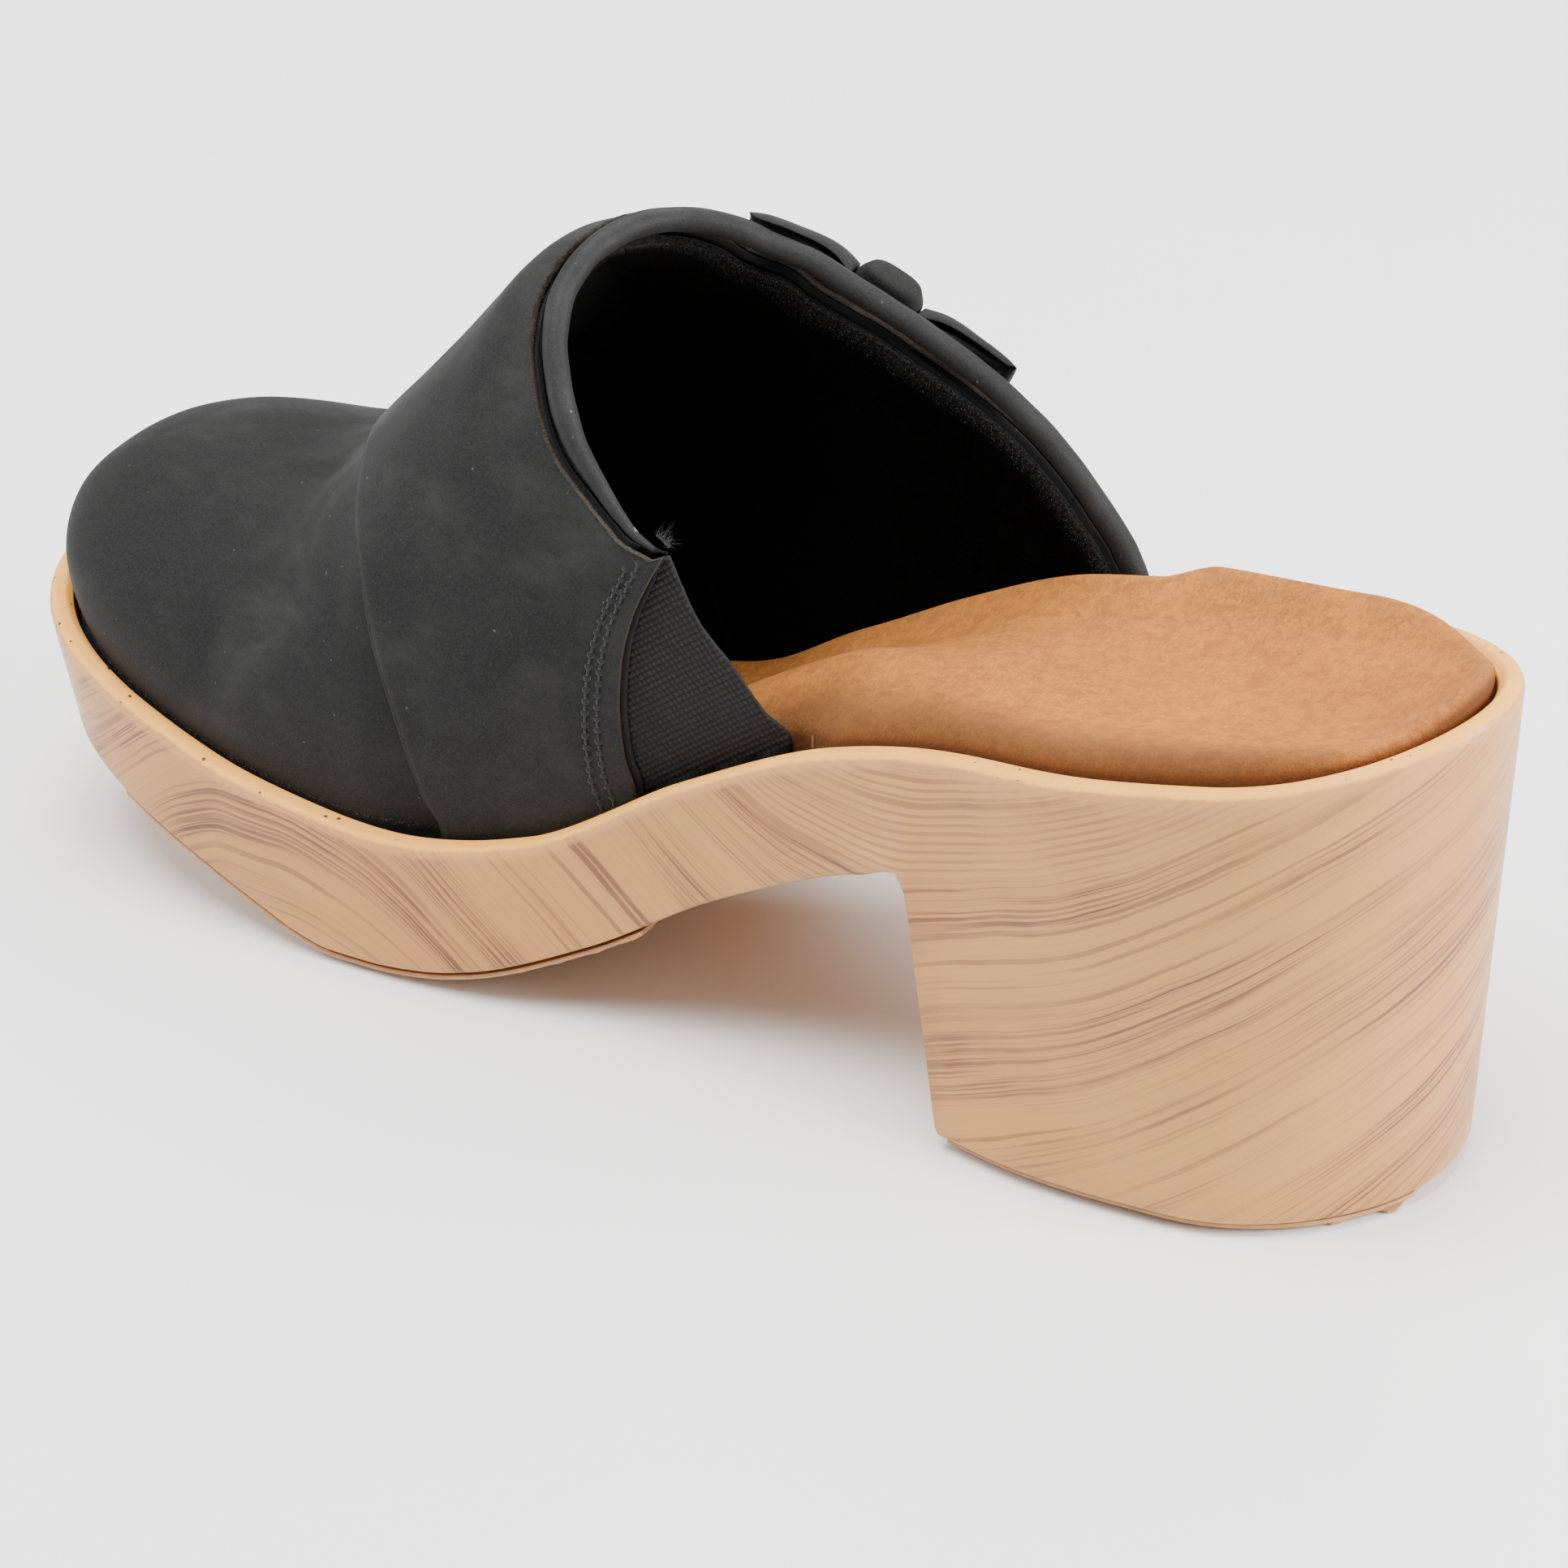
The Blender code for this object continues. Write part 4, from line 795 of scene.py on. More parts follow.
def rise(s, q):
    """Height of the footbed over the rim; q runs from the outer to the inner border."""
    lines = np.array([curve(table, s) for table in RISE])
    xs = np.array(RISE_PLACES)
    step = np.diff(xs)
    lean = leans(np.diff(lines, axis=0) / step[:, None])
    i = np.clip(np.searchsorted(xs, q, side="right") - 1, 0, len(step) - 1)
    n = np.arange(len(q))
    return cubic((q - xs[i]) / step[i], step[i], lines[i, n], lines[i + 1, n], lean[i, n],
                 lean[i + 1, n])


def footbed_top(s, y):
    """Height of the footbed surface: heel cup, arch support, flatter forepart."""
    free = np.where(y > curve(CENTRE, s), curve(FREE_INNER, s), curve(FREE_OUTER, s))
    half = np.maximum(curve(WIDTH, s) - free, 5.0)
    q = np.clip((y - curve(CENTRE, s)) / half, -1, 1)
    lip = LIP * np.clip((LIP_END - s) / 15.0, 0, 1) ** 2 * (1 - q * q)
    return rim(s) + rise(s, q) + lip


def footbed_ring(places, shrink, lift, floor=False):
    s, y, side, inward = plan(places)
    free = np.where(side > 0, curve(FREE_INNER, s), curve(FREE_OUTER, s)) + shrink
    s2 = s + free * inward[:, 0]
    y2 = y + free * inward[:, 1]
    z = (cup_floor(s2) if floor else footbed_top(s2, y2)) + lift
    return np.stack([s2, y2, z], 1)


def footbed():
    """Fine surface of the covered cushion, rounded over its border."""
    places = stations(30, 44, 1.6)
    floor = footbed_ring(places, 0.0, 2 * GAP + BOARD, True)
    rings = []
    for a in quarter_turn(8):
        rings.append(footbed_ring(places, 3.4 * (1 - math.sin(a)), -3.2 * (1 - math.cos(a))))
    for share in (0.2, 0.4, 0.6, 0.8, 1.0):
        rings.append(rings[8] * (1 - share) + floor * share)
    rings.append(footbed_ring(places, 3.0, 2 * GAP + BOARD, True))
    rows = []
    for points in rings:
        # drop below the top surface, kept as the 'side' mark that the cover paints as shade
        side = footbed_top(points[:, 0], points[:, 1]) - points[:, 2]
        rows.append(np.concatenate([points, side[:, None]], 1))
    cols = len(rows[0])
    data = list(np.concatenate(rows))
    faces = tube_faces(len(rows), cols)
    top = len(data)
    span(data, faces, list(range(cols)), len(places), 44)
    block = np.array(data[top:])
    block[:, 2] = footbed_top(block[:, 0], block[:, 1])
    data[top:] = list(block)
    start = (len(rows) - 1) * cols
    span(data, faces, list(range(start, start + cols)), len(places), 4)
    data = np.array(data)
    # painted shade along the inner border as well, raised into the 'side' mark
    half = curve(WIDTH, data[:, 0]) - curve(FREE_INNER, data[:, 0])
    inner = ease(((data[:, 1] - curve(CENTRE, data[:, 0])) / half - 0.45) / 0.55)
    data[:, 3] = np.maximum(data[:, 3], 3.2 * inner)
    obj = piece("footbed_suede", data[:, :3], faces, microsuede(), "footbed_cover",
                {"side": data[:, 3]})


# ---------------------------------------------------------------- upper surface

def crest(s):
    """Height of the ridge of the upper, closing down steeply over the toe."""
    t = np.clip((s - CLOSE_START) / (UPPER_TIP - CLOSE_START), 0, 1)
    fall = np.clip(1 - t ** CLOSE[0], 0, 1) ** (1 / CLOSE[1])
    return rim(s) + (curve(CREST, s) - rim(s)) * fall


def upper_half(s):
    t = np.clip((s - LENGTH + TOE_ROUND) / (UPPER_TIP - LENGTH + TOE_ROUND), 0, 1)
    return (curve(WIDTH, s) - curve(INSET, s)) * np.sqrt(np.clip(1 - t ** TOE_POWER, 0, 1))


def skin(s, v):
    """Point of the upper's base surface at position s and place v over the arch."""
    s = np.asarray(s, float)
    inside = np.clip(v, 0, 1)
    a = math.pi * inside
    power = 2.0 / curve(FULLNESS, s)
    c = np.cos(a)
    share = np.clip(np.sin(a), 0, 1) ** power
    out = np.sign(c) * np.abs(c) ** power
    swell = 1 + BULGE * 4 * share * (1 - share)
    y = curve(CENTRE, s) + upper_half(s) * out * swell
    z = rim(s) + (crest(s) - rim(s)) * share
    tuck = np.maximum(-v, np.maximum(v - 1, 0)) * TUCK / TUCK_STEP
    front = np.clip((s - TOE_START) / (UPPER_TIP - TOE_START), 0, 1)
    high = np.clip((z - rim(s)) / 20.0, 0, 1)
    lean = TOE_LEAN * front * front * (3 - 2 * front) * np.sin(high * math.pi / 2)
    return np.stack([s + lean, y, z - tuck], -1)


def skin_normal(s, v):
    """Outward direction of the base surface, level near the rim."""
    s = np.asarray(s, float)
    v = np.asarray(v, float)
    near = np.minimum(s, UPPER_TIP - 0.4)
    inside = np.clip(v, 0.004, 0.996)
    along = skin(near + 0.2, inside) - skin(near - 0.2, inside)
    over = skin(near, inside + 0.002) - skin(near, inside - 0.002)
    n = unit(-np.cross(along, over))
    centre = np.stack([near, curve(CENTRE, near), rim(near) - 20], -1)
    flip = np.sign(np.sum((skin(near, inside) - centre) * n, -1))
    n = n * np.where(flip == 0, 1, flip)[..., None]
    core = UPPER_TIP - 30.0
    heart = np.array([core, float(curve(CENTRE, core)), float(rim(core)) + 9])
    out = unit(skin(near, inside) - heart)
    blend = ease((s - NOSE[0]) / NOSE[1])[..., None]
    n = n * (1 - blend) + out * blend
    tip = (s >= UPPER_TIP - 1e-6)
    n = np.where(tip[..., None], np.array([1.0, 0, 0]), n)
    share = ease((skin(near, inside)[..., 2] - rim(near)) / 9.0)
    n[..., 2] = n[..., 2] * share
    return unit(n)


def layer_point(s, v, offset):
    """Base surface moved outwards by offset, one number or one for each point."""
    return skin(s, v) + np.asarray(offset)[..., None] * skin_normal(s, v)


def topline(v):
    """Rear edge of the upper above the gore's corner, front edge of the gore below it."""
    return np.where(np.asarray(v) > GORE_CORNER, curve(TOPLINE, v), curve(GORE_FRONT, v))


def seam(v):
    return curve(SEAM, v)


def edge_slant(v):
    """Change of position per millimetre square to the topline."""
    step = 0.003
    v = np.clip(np.asarray(v, float), step, 1 - step)
    v = np.where(v > GORE_CORNER, np.maximum(v, GORE_CORNER + 2 * step),
                 np.minimum(v, GORE_CORNER - 2 * step))
    ahead = skin(topline(v + step), v + step) - skin(topline(v - step), v - step)
    along = np.abs(ahead[..., 0]) / np.linalg.norm(ahead, axis=-1)
    return 1 / np.sqrt(np.clip(1 - along ** 2, 0.2, 1))


def opening(v):
    """How far band and piping have spread apart from the gore's top corner."""
    t = np.clip((np.asarray(v, float) - GORE_CORNER) / CORNER_FADE, 0, 1)
    return CORNER_SHARE + (1 - CORNER_SHARE) * np.sin(t * math.pi / 2)


def band_edge(v):
    """Rear edge of the band: the gore's front edge, then just ahead of the piping."""
    v = np.asarray(v, float)
    return topline(v) + np.where(v > GORE_CORNER, BAND_BACK * edge_slant(v) * opening(v), 0.0)


def lining_edge(v):
    v = np.asarray(v, float)
    return topline(v) + np.where(v > GORE_CORNER, LINING_BACK * edge_slant(v) * opening(v), 1.0)


def arch_places(first, last, count, extra=()):
    """Places over the arch with tucked rows below the rim where the range reaches it."""
    rows = list(np.linspace(first, last, count)) + list(extra)
    if first <= 0:
        rows += [-TUCK_STEP, -TUCK_STEP * 0.6, -TUCK_STEP * 0.25, 0.004, 0.008]
    if last >= 1:
        rows += [1 + TUCK_STEP, 1 + TUCK_STEP * 0.6, 1 + TUCK_STEP * 0.25, 0.996, 0.992]
    return np.unique(np.round(rows, 5))


def grid(rows, start, stop, t):
    """Positions and places of a patch between two edge curves."""
    a = start(rows)[:, None]
    b = stop(rows)[:, None]
    return a + (b - a) * t[None, :], np.repeat(rows[:, None], len(t), 1)


def waves(s, v, seed):
    """Slight unevenness of stretched leather."""
    p = skin(s, v)
    out = np.zeros(s.shape)
    rng = np.random.default_rng(seed)
    for size, height in ((34.0, 0.16), (17.0, 0.07), (8.0, 0.03)):
        for _ in range(3):
            direction = unit(rng.normal(size=3)) / size * 2 * math.pi
            out += height * np.sin(p @ direction + rng.uniform(0, 2 * math.pi))
    return out


def dense_end(count, power):
    """Numbers from 0 to 1 that crowd towards both ends."""
    t = np.linspace(-1, 1, count)
    return (np.sign(t) * (1 - (1 - np.abs(t)) ** power) + 1) / 2


def vamp(mat):
    """Toe part with faint creases that fan out from the band."""
    rows = arch_places(0, 1, 170)
    t = np.linspace(0, 1, 120)
    t = np.sin(t * math.pi / 2) ** 0.9
    s, v = grid(rows, lambda r: seam(r) - UNDERLAP, lambda r: 0 * r + UPPER_TIP, t)
    ahead = s - seam(v)
    free = ease((ahead - 1.5) / 8.0) * ease((UPPER_TIP - s) / 14.0) * ease(np.minimum(v, 1 - v) / 0.03)
    fan = np.sin((v - 0.36) * 95 + ahead * 0.05) * np.exp(-((ahead - 13) / 11) ** 2)
    fan = fan * np.exp(-((v - 0.42) / 0.15) ** 2)
    offset = free * (waves(s, v, 5) * 0.8 + 0.16 * fan)
    outer = layer_point(s, v, offset)
    verts, faces, edge = slab(outer, layer_point(s, v, -LEATHER), 0.2)
    piece("vamp_nubuck", verts, faces, mat, "vamp", {"edge": edge})


def instep_band(mat):
    """Wide band: cut edge behind, folded edge in front, drawn in along the stitching."""
    rows = arch_places(0, 1, 230, np.linspace(GORE_CORNER - 0.012, GORE_CORNER + 0.05, 40))
    t = dense_end(96, 1.6)
    s, v = grid(rows, band_edge, seam, t)
    behind = (s - band_edge(v)) / edge_slant(v)
    before = seam(v) - s
    rng = np.random.default_rng(11)
    ragged = rng.normal(0, 0.05, s.shape) * (behind < 0.3) * (v > 0.12)
    offset = BAND[1] + waves(s, v, 8) * 0.5 * ease(behind / 6) * ease(before / 8)
    gore_side = ease((GORE_CORNER - 0.004 - v) / 0.01)
    for distance in STITCH_ROWS:
        pucker = 0.75 + 0.25 * np.cos(2 * math.pi * v * 28)
        offset = offset - 0.16 * pucker * gore_side * np.exp(-((behind - distance) / 0.55) ** 2)
    offset = offset - 0.45 * (1 - ease(before / 1.8)) ** 2
    verts, faces, edge = slab(layer_point(s, v, offset + ragged), layer_point(s, v, BAND[0]), 0.28)
    piece("instep_band_nubuck", verts, faces, mat, "instep_band", {"edge": edge})


def gore_edge(mat):
    """Thin turned edge of the under layer that shows behind the band over the gore."""
    rows = arch_places(0, GORE_CORNER - 0.003, 90)
    t = np.linspace(0, 1, 8)
    back = 1.1
    s, v = grid(rows, lambda r: topline(r) - back * ease((GORE_CORNER - r) / 0.02),
                lambda r: topline(r) + 3.0, t)
    verts, faces, edge = slab(layer_point(s, v, 0.45), layer_point(s, v, 0.08), 0.12)
    piece("gore_facing_edge", verts, faces, mat, marks={"edge": edge})


def quarter(mat):
    """Under layer seen between the band and the piping, coloured darker than the other nubuck as
    painted shade of the gap.
    """
    rows = arch_places(GORE_CORNER + 0.012, 1, 150)
    t = np.linspace(0, 1, 14)
    s, v = grid(rows, lining_edge, lambda r: seam(r) - UNDERLAP - 0.5, t)
    verts, faces, edge = slab(skin(s, v), layer_point(s, v, -LEATHER), 0.1)
    piece("quarter_underlay", verts, faces, mat, "quarter", {"edge": edge * 0})


def lining(mat):
    """Velvet lining of the instep, swelling gently against the piping."""
    rows = arch_places(0, 1, 150, np.linspace(GORE_CORNER - 0.01, GORE_CORNER + 0.05, 20))
    t = dense_end(60, 1.5)
    s, v = grid(rows, lining_edge, lambda r: seam(r) - 8.5, t)
    behind = (s - lining_edge(v)) / edge_slant(v)
    swell = 0.3 * np.exp(-((behind - 1.6) / 2.2) ** 2) * ease((v - GORE_CORNER) / 0.03)
    offset = QUARTER_LINING[1] - swell + 0.3 * waves(s, v, 21) * ease(behind / 4)
    verts, faces, _ = slab(layer_point(s, v, QUARTER_LINING[0]), layer_point(s, v, offset), 0.3)
    # distance behind the lining's edge, where the velvet paints its highlight
    back = np.where(v < GORE_CORNER, 9.0, behind).ravel()
    back = np.concatenate([back, back, np.zeros(len(verts) - 2 * s.size)])
    piece("quarter_velvet", verts, faces, mat, "quarter_lining", {"back": back})


def toe_lining(mat):
    """Velvet lining of the toe."""
    rows = arch_places(0, 1, 90)
    t = np.sin(np.linspace(0, 1, 60) * math.pi / 2) ** 0.9
    s, v = grid(rows, lambda r: seam(r) - 8.0, lambda r: 0 * r + UPPER_TIP, t)
    verts, faces, edge = slab(layer_point(s, v, VAMP_LINING[0]), layer_point(s, v, VAMP_LINING[1]), 0.2)
    # far from any edge, so the toe lining gets no painted highlight
    piece("toe_velvet", verts, faces, mat, "vamp_lining", {"back": 9.0 + 0 * edge})


def gore(mat):
    """Elastic webbing: basket weave in the mesh, its rows square to the free edge."""
    rows = np.concatenate([[-TUCK_STEP, -TUCK_STEP / 2],
                           np.linspace(0, GORE_CORNER - 0.002, 250)])
    t = np.linspace(0, 1, 150)
    s, v = grid(rows, lambda r: curve(GORE_REAR, r), lambda r: topline(r) + 6.4, t)
    flat = skin(s, v)
    ends = np.array([GORE_CORNER, 0.0])
    top, foot = skin(curve(GORE_REAR, ends), ends)
    down = unit(foot - top)
    out = unit(np.cross(down, skin_normal(np.array([125.0]), np.array([0.05]))[0]))
    a = (flat - top) @ down
    b = (flat - top) @ out
    pitch_a, pitch_b = WEAVE
    warp = np.abs(np.sin(math.pi * a / pitch_a)) ** 0.6
    weft = np.abs(np.sin(math.pi * (b / pitch_b + 0.08 * np.sin(a * 1.3)))) ** 0.7
    rng = np.random.default_rng(4)
    cells = rng.uniform(0.8, 1.1, (400, 400))
    uneven = cells[np.floor(a / pitch_a).astype(int) % 400, np.floor(b / pitch_b).astype(int) % 400]
    weave = warp * (0.25 + 0.75 * weft) * uneven
    outer = layer_point(s, v, -0.1 + 0.26 * (weave - 0.5))
    verts, faces, _ = slab(outer, layer_point(s, v, -GORE_THICK), 0.25)
    # weave height, which the yarn material turns into painted shade and painted highlight
    marks = np.concatenate([weave.ravel(), np.full(s.size, 0.5),
                            np.full(len(verts) - 2 * s.size, 0.6)])
    piece("gore_webbing", verts, faces, mat, "medial_gore", {"weave": marks})


def topline_path(count):
    """Centre of the piping, the directions square to it and its share of full size."""
    v = np.append(np.linspace(GORE_CORNER + 0.006, 1, count), 1 + TUCK_STEP * 0.6)
    inside = np.clip(v, 0, 1)
    share = opening(inside)
    s = topline(inside) + BINDING * edge_slant(inside) * share
    n = skin_normal(s, v)
    centre = skin(s, v) - 0.2 * n
    up, side = square_to(centre, n)
    return centre, up, side, share[:, None]


def piping(mat):
    """Rolled nubuck binding, slightly uneven, closed at its ends."""
    centre, up, side, share = topline_path(360)
    run = distance_run(centre)
    swell = 1 + 0.015 * np.sin(run / 3.1) + 0.012 * np.sin(run / 1.3 + 1)
    rows = sweep(centre, up, side, BINDING * share * swell[:, None], 22)
    verts = []
    faces = []
    capped_tube(rows, verts, faces)
    piece("piping_nubuck", np.array(verts), faces, mat, "topline_binding")


def along_edge(distance, first, last, pitch):
    """Evenly spaced spots (s, v) at a distance in front of the band's edge over the gore."""
    v = np.linspace(first, last, 600)
    s = curve(GORE_FRONT, v) + distance * edge_slant(np.minimum(v, GORE_CORNER - 0.012))
    run = distance_run(layer_point(s, v, BAND[1]))
    wanted = np.arange(0.4, run[-1], pitch)
    return np.interp(wanted, run, s), np.interp(wanted, run, v)


def stitching(thread_mat, hole_mat):
    """Two rows of thread sunk into needle holes along the gore."""
    threads = ([], [])
    holes = ([], [])
    for distance in STITCH_ROWS:
        s, v = along_edge(distance, 0.0, GORE_CORNER + 0.004, 2.1)
        surface_points = layer_point(s, v, BAND[1] - 0.03)
        n = skin_normal(s, v)
        for k in range(len(s)):
            # dark disc painted as the needle hole's shadow
            hole_shadow_disc(holes, surface_points[k], n[k])
            if k + 1 < len(s):
                one_stitch(threads, surface_points[k], surface_points[k + 1], n[k])
    # the needle holes are dark discs, a painted shadow
    for name, store, mat in (("gore_stitches", threads, thread_mat), ("needle_hole_shadows", holes, hole_mat)):
        piece(name, np.array(store[0]), store[1], mat)


def one_stitch(store, a, b, n):
    """Short thread from hole to hole, its ends dipping in."""
    t = np.linspace(0.2, 0.8, 8)
    arch = np.sin(np.linspace(0, math.pi, 8))
    centre = a + (b - a) * t[:, None] + n * (-0.16 + 0.26 * arch ** 0.6)[:, None]
    up, side = square_to(centre, n)
    rows = sweep(centre, up, side, 0.2 * (0.5 + 0.5 * arch ** 0.5)[:, None], 8)
    capped_tube(rows, store[0], store[1])


def hole_shadow_disc(store, p, n):
    """Dark disc over the needle hole: painted shadow of the hole."""
    side = unit(np.cross(n, np.array([0.3, 0.2, 1.0])))
    other = np.cross(n, side)
    rows = []
    for radius, lift in ((0.62, -0.12), (0.6, 0.02), (0.35, 0.06), (0.08, 0.07)):
        a = 2 * math.pi * np.arange(12) / 12
        rows.append(p + n * lift + radius * (np.cos(a)[:, None] * side + np.sin(a)[:, None] * other))
    capped_tube(np.array(rows), store[0], store[1])


# ---------------------------------------------------------------- loose fibres

def fibres(name, roots, lean, length, spread, thick, seed, mat):
    """Short bent hairs standing on given points."""
    rng = np.random.default_rng(seed)
    verts = []
    faces = []
    for root, way in zip(roots, lean):
        way = unit(unit(way) + rng.normal(0, spread, 3))
        bend = rng.normal(0, 0.7, 3)
        size = length * rng.uniform(0.4, 1.25)
        t = np.linspace(0, 1, 4)[:, None]
        line = root + way * size * t + bend * size * 0.35 * t * t
        side = unit(np.cross(way, rng.normal(0, 1, 3)))
        up = np.cross(way, side)
        rows = []
        for k in range(4):
            radius = thick * (1 - 0.25 * k)
            rows.append([line[k] + radius * (math.cos(a) * side + math.sin(a) * up)
                         for a in HAIR_CORNERS])
        capped_tube(np.array(rows), verts, faces)
    piece(name, np.array(verts), faces, mat)


def edge_fuzz(mat):
    """Fibres on the band's cut edge."""
    rng = np.random.default_rng(31)
    v = rng.uniform(GORE_CORNER + 0.004, 0.995, 2600)
    s = band_edge(v)
    p = layer_point(s, v, rng.uniform(BAND[0] + 0.2, BAND[1], len(v)))
    back = skin(s - 1.0, v) - skin(s, v)
    fibres("band_edge_fuzz", p, back + 0.5 * skin_normal(s, v), 0.55, 0.45, 0.022, 32, mat)


def lining_fuzz(mat):
    """Pile standing off the velvet beside the piping."""
    rng = np.random.default_rng(41)
    v = rng.uniform(GORE_CORNER + 0.01, 0.99, 3000)
    s = lining_edge(v) + rng.uniform(-0.5, 2.2, len(v)) * edge_slant(v)
    p = layer_point(s, v, QUARTER_LINING[1] - 0.3)
    back = skin(s - 1.0, v) - skin(s, v)
    fibres("velvet_fuzz", p, 0.6 * back - skin_normal(s, v), 0.7, 0.5, 0.02, 42, mat)


def corner_tuft(mat):
    """Frayed threads where piping, band and gore meet."""
    rng = np.random.default_rng(51)
    tuft, fray, tip = 70, 46, 40
    v = np.concatenate([rng.uniform(0.134, 0.146, tuft), rng.uniform(0.116, 0.122, fray),
                        rng.uniform(0.124, 0.131, tip)])
    ahead = np.concatenate([np.full(tuft, -0.6), 4.4 + rng.normal(0, 0.8, fray), np.full(tip, 0.2)])
    s = topline(v) + ahead
    lift = np.concatenate([np.full(tuft, -1.0), np.full(fray, BAND[1]), np.full(tip, 0.4)])
    p = layer_point(s, v, lift)
    away = skin(s - 1.0, v + 0.004) - skin(s, v)
    n = skin_normal(s, v)
    backwards = np.repeat([1.2, 0.4, 1.0], (tuft, fray, tip))[:, None]
    outwards = np.repeat([0.0, 0.8, 1.0], (tuft, fray, tip))[:, None]
    lean = backwards * away + outwards * n
    fibres("corner_tuft", p[:tuft], lean[:tuft], 2.3, 0.45, 0.03, 52, mat)
    fibres("stitch_fray", p[tuft:], lean[tuft:], 0.8, 0.6, 0.03, 53, mat)


def rim_fuzz(mat):
    """Lint caught where the upper meets the rim."""
    rng = np.random.default_rng(61)
    v = np.repeat([0.002, 0.998], 500)
    s = rng.uniform(140, UPPER_TIP - 6, len(v))
    p = layer_point(s, v, 0.1) + rng.normal(0, 0.15, (len(v), 3))
    n = skin_normal(s, v)
    fibres("rim_lint", p, n + np.array([0, 0, 0.35]), 0.55, 0.6, 0.025, 62, mat)


# ---------------------------------------------------------------- bow

def bow_points(p, q, r):
    """Points at distance p along, q across and r above the curved band surface."""
    v0 = BOW_PLACE
    s0 = float(topline(v0)) + BOW_SET * float(edge_slant(v0))
    centre = skin(s0, v0)
    n = skin_normal(np.array([s0]), np.array([v0]))[0]
    along = skin(topline(v0 - 0.03), v0 - 0.03) - skin(topline(v0 + 0.03), v0 + 0.03)
    along = unit(along - np.dot(along, n) * n)
    across = np.cross(n, along)
    flat = centre + p[..., None] * along + q[..., None] * across
    s = s0 + 0 * p
    v = v0 + 0 * p
    for _ in range(12):
        here = skin(s, v)
        ds = (skin(s + 0.1, v) - here) / 0.1
        dv = (skin(s, v + 0.0005) - here) / 0.0005
        miss = flat - here
        a = np.sum(miss * along, -1)
        b = np.sum(miss * across, -1)
        m11 = np.sum(ds * along, -1)
        m12 = np.sum(dv * along, -1)
        m21 = np.sum(ds * across, -1)
        m22 = np.sum(dv * across, -1)
        det = m11 * m22 - m12 * m21
        s = s + np.clip((a * m22 - b * m12) / det, -8, 8)
        v = np.clip(v + np.clip((b * m11 - a * m21) / det, -0.05, 0.05), 0.02, 0.99)
    rise_here = np.sum((skin(s, v) - centre) * n, -1)
    return flat + (rise_here + BAND[1] + r)[..., None] * n


def smooth_line(points, count):
    """Evenly spread points on a smooth curve through the given ones."""
    pts = np.array(points, float)
    run = distance_run(pts)
    pick = np.linspace(0, run[-1], count)
    lean = np.gradient(pts, run, axis=0)
    i = np.clip(np.searchsorted(run, pick, side="right") - 1, 0, len(run) - 2)
    step = (run[i + 1] - run[i])[:, None]
    return cubic((pick - run[i])[:, None] / step, step, pts[i], pts[i + 1], lean[i], lean[i + 1])


def bow_wing(name, node, way, lift, mat):
    """Folded wing gathered into pleats towards the knot."""
    path = smooth_line(BOW_LINE, 70)
    tangent = unit(np.gradient(path, axis=0))
    inward = np.stack([tangent[:, 1], -tangent[:, 0]], 1)
    across = 41
    q_share = np.linspace(-1, 1, across)[None, :]
    grids = []
    for depth in (0.0, BOW_THICK):
        line = path + depth * inward
        p = np.repeat(line[:, :1], across, 1)
        r = np.repeat(line[:, 1:], across, 1)
        r = r - lift * np.clip((p - 8) / 16, 0, 1) * np.clip(r / 8, 0, 1)
        open_share = np.sin(np.clip((path[:, 0] - 2) / 17, 0, 1) * math.pi / 2)
        wide = BOW_WIDTH / 2 * (0.5 + 0.5 * open_share)
        wide = wide * (BOW_UNDER + (1 - BOW_UNDER) * np.clip((path[:, 1] - 1) / 3, 0, 1))
        q = wide[:, None] * q_share
        gather = np.exp(-np.clip(p - 6, 0, 30) / 5.5)
        upper = ease((r - 3.0) / 2.0)
        r = r - np.clip(path[:, 1:] - BOW_HEM, 0, BOW_DROOP) * q_share ** 4
        r = r + 0.42 * gather * np.cos(q_share * 9.5) * upper
        r = r + 0.12 * np.sin(p * 0.55 + q_share * 2.5) * upper
        grids.append(bow_points(way * p, q, r))
    verts, faces, edge = slab(grids[0], grids[1], 0.3)
    piece(name, verts, faces, mat, node, {"edge": edge * 0.5})


def bow_centre(mat):
    """Knot strap with soft lengthwise folds."""
    rows = 34
    sides = 64
    a = 2 * math.pi * np.arange(sides) / sides
    c = np.sign(np.cos(a)) * np.abs(np.cos(a)) ** 0.7
    d = np.sign(np.sin(a)) * np.abs(np.sin(a)) ** 0.7
    grids = []
    for t in np.linspace(-1, 1, rows):
        scale = max(0.0, 1 - abs(t) ** 4) ** 0.5
        fold = 1 + 0.045 * math.cos(t * 10.5) * scale
        grids.append(np.stack([KNOT[0] * c * (0.6 + 0.4 * scale) * fold, KNOT[1] * t + 0 * c,
                               KNOT_LIFT + KNOT[2] * d * (0.55 + 0.45 * scale) * fold], 1))
    verts = []
    faces = []
    capped_tube(bow_points(*np.moveaxis(np.array(grids), -1, 0)), verts, faces)
    piece("bow_knot_nubuck", np.array(verts), faces, mat, "bow_knot")


# ---------------------------------------------------------------- carried-over parts

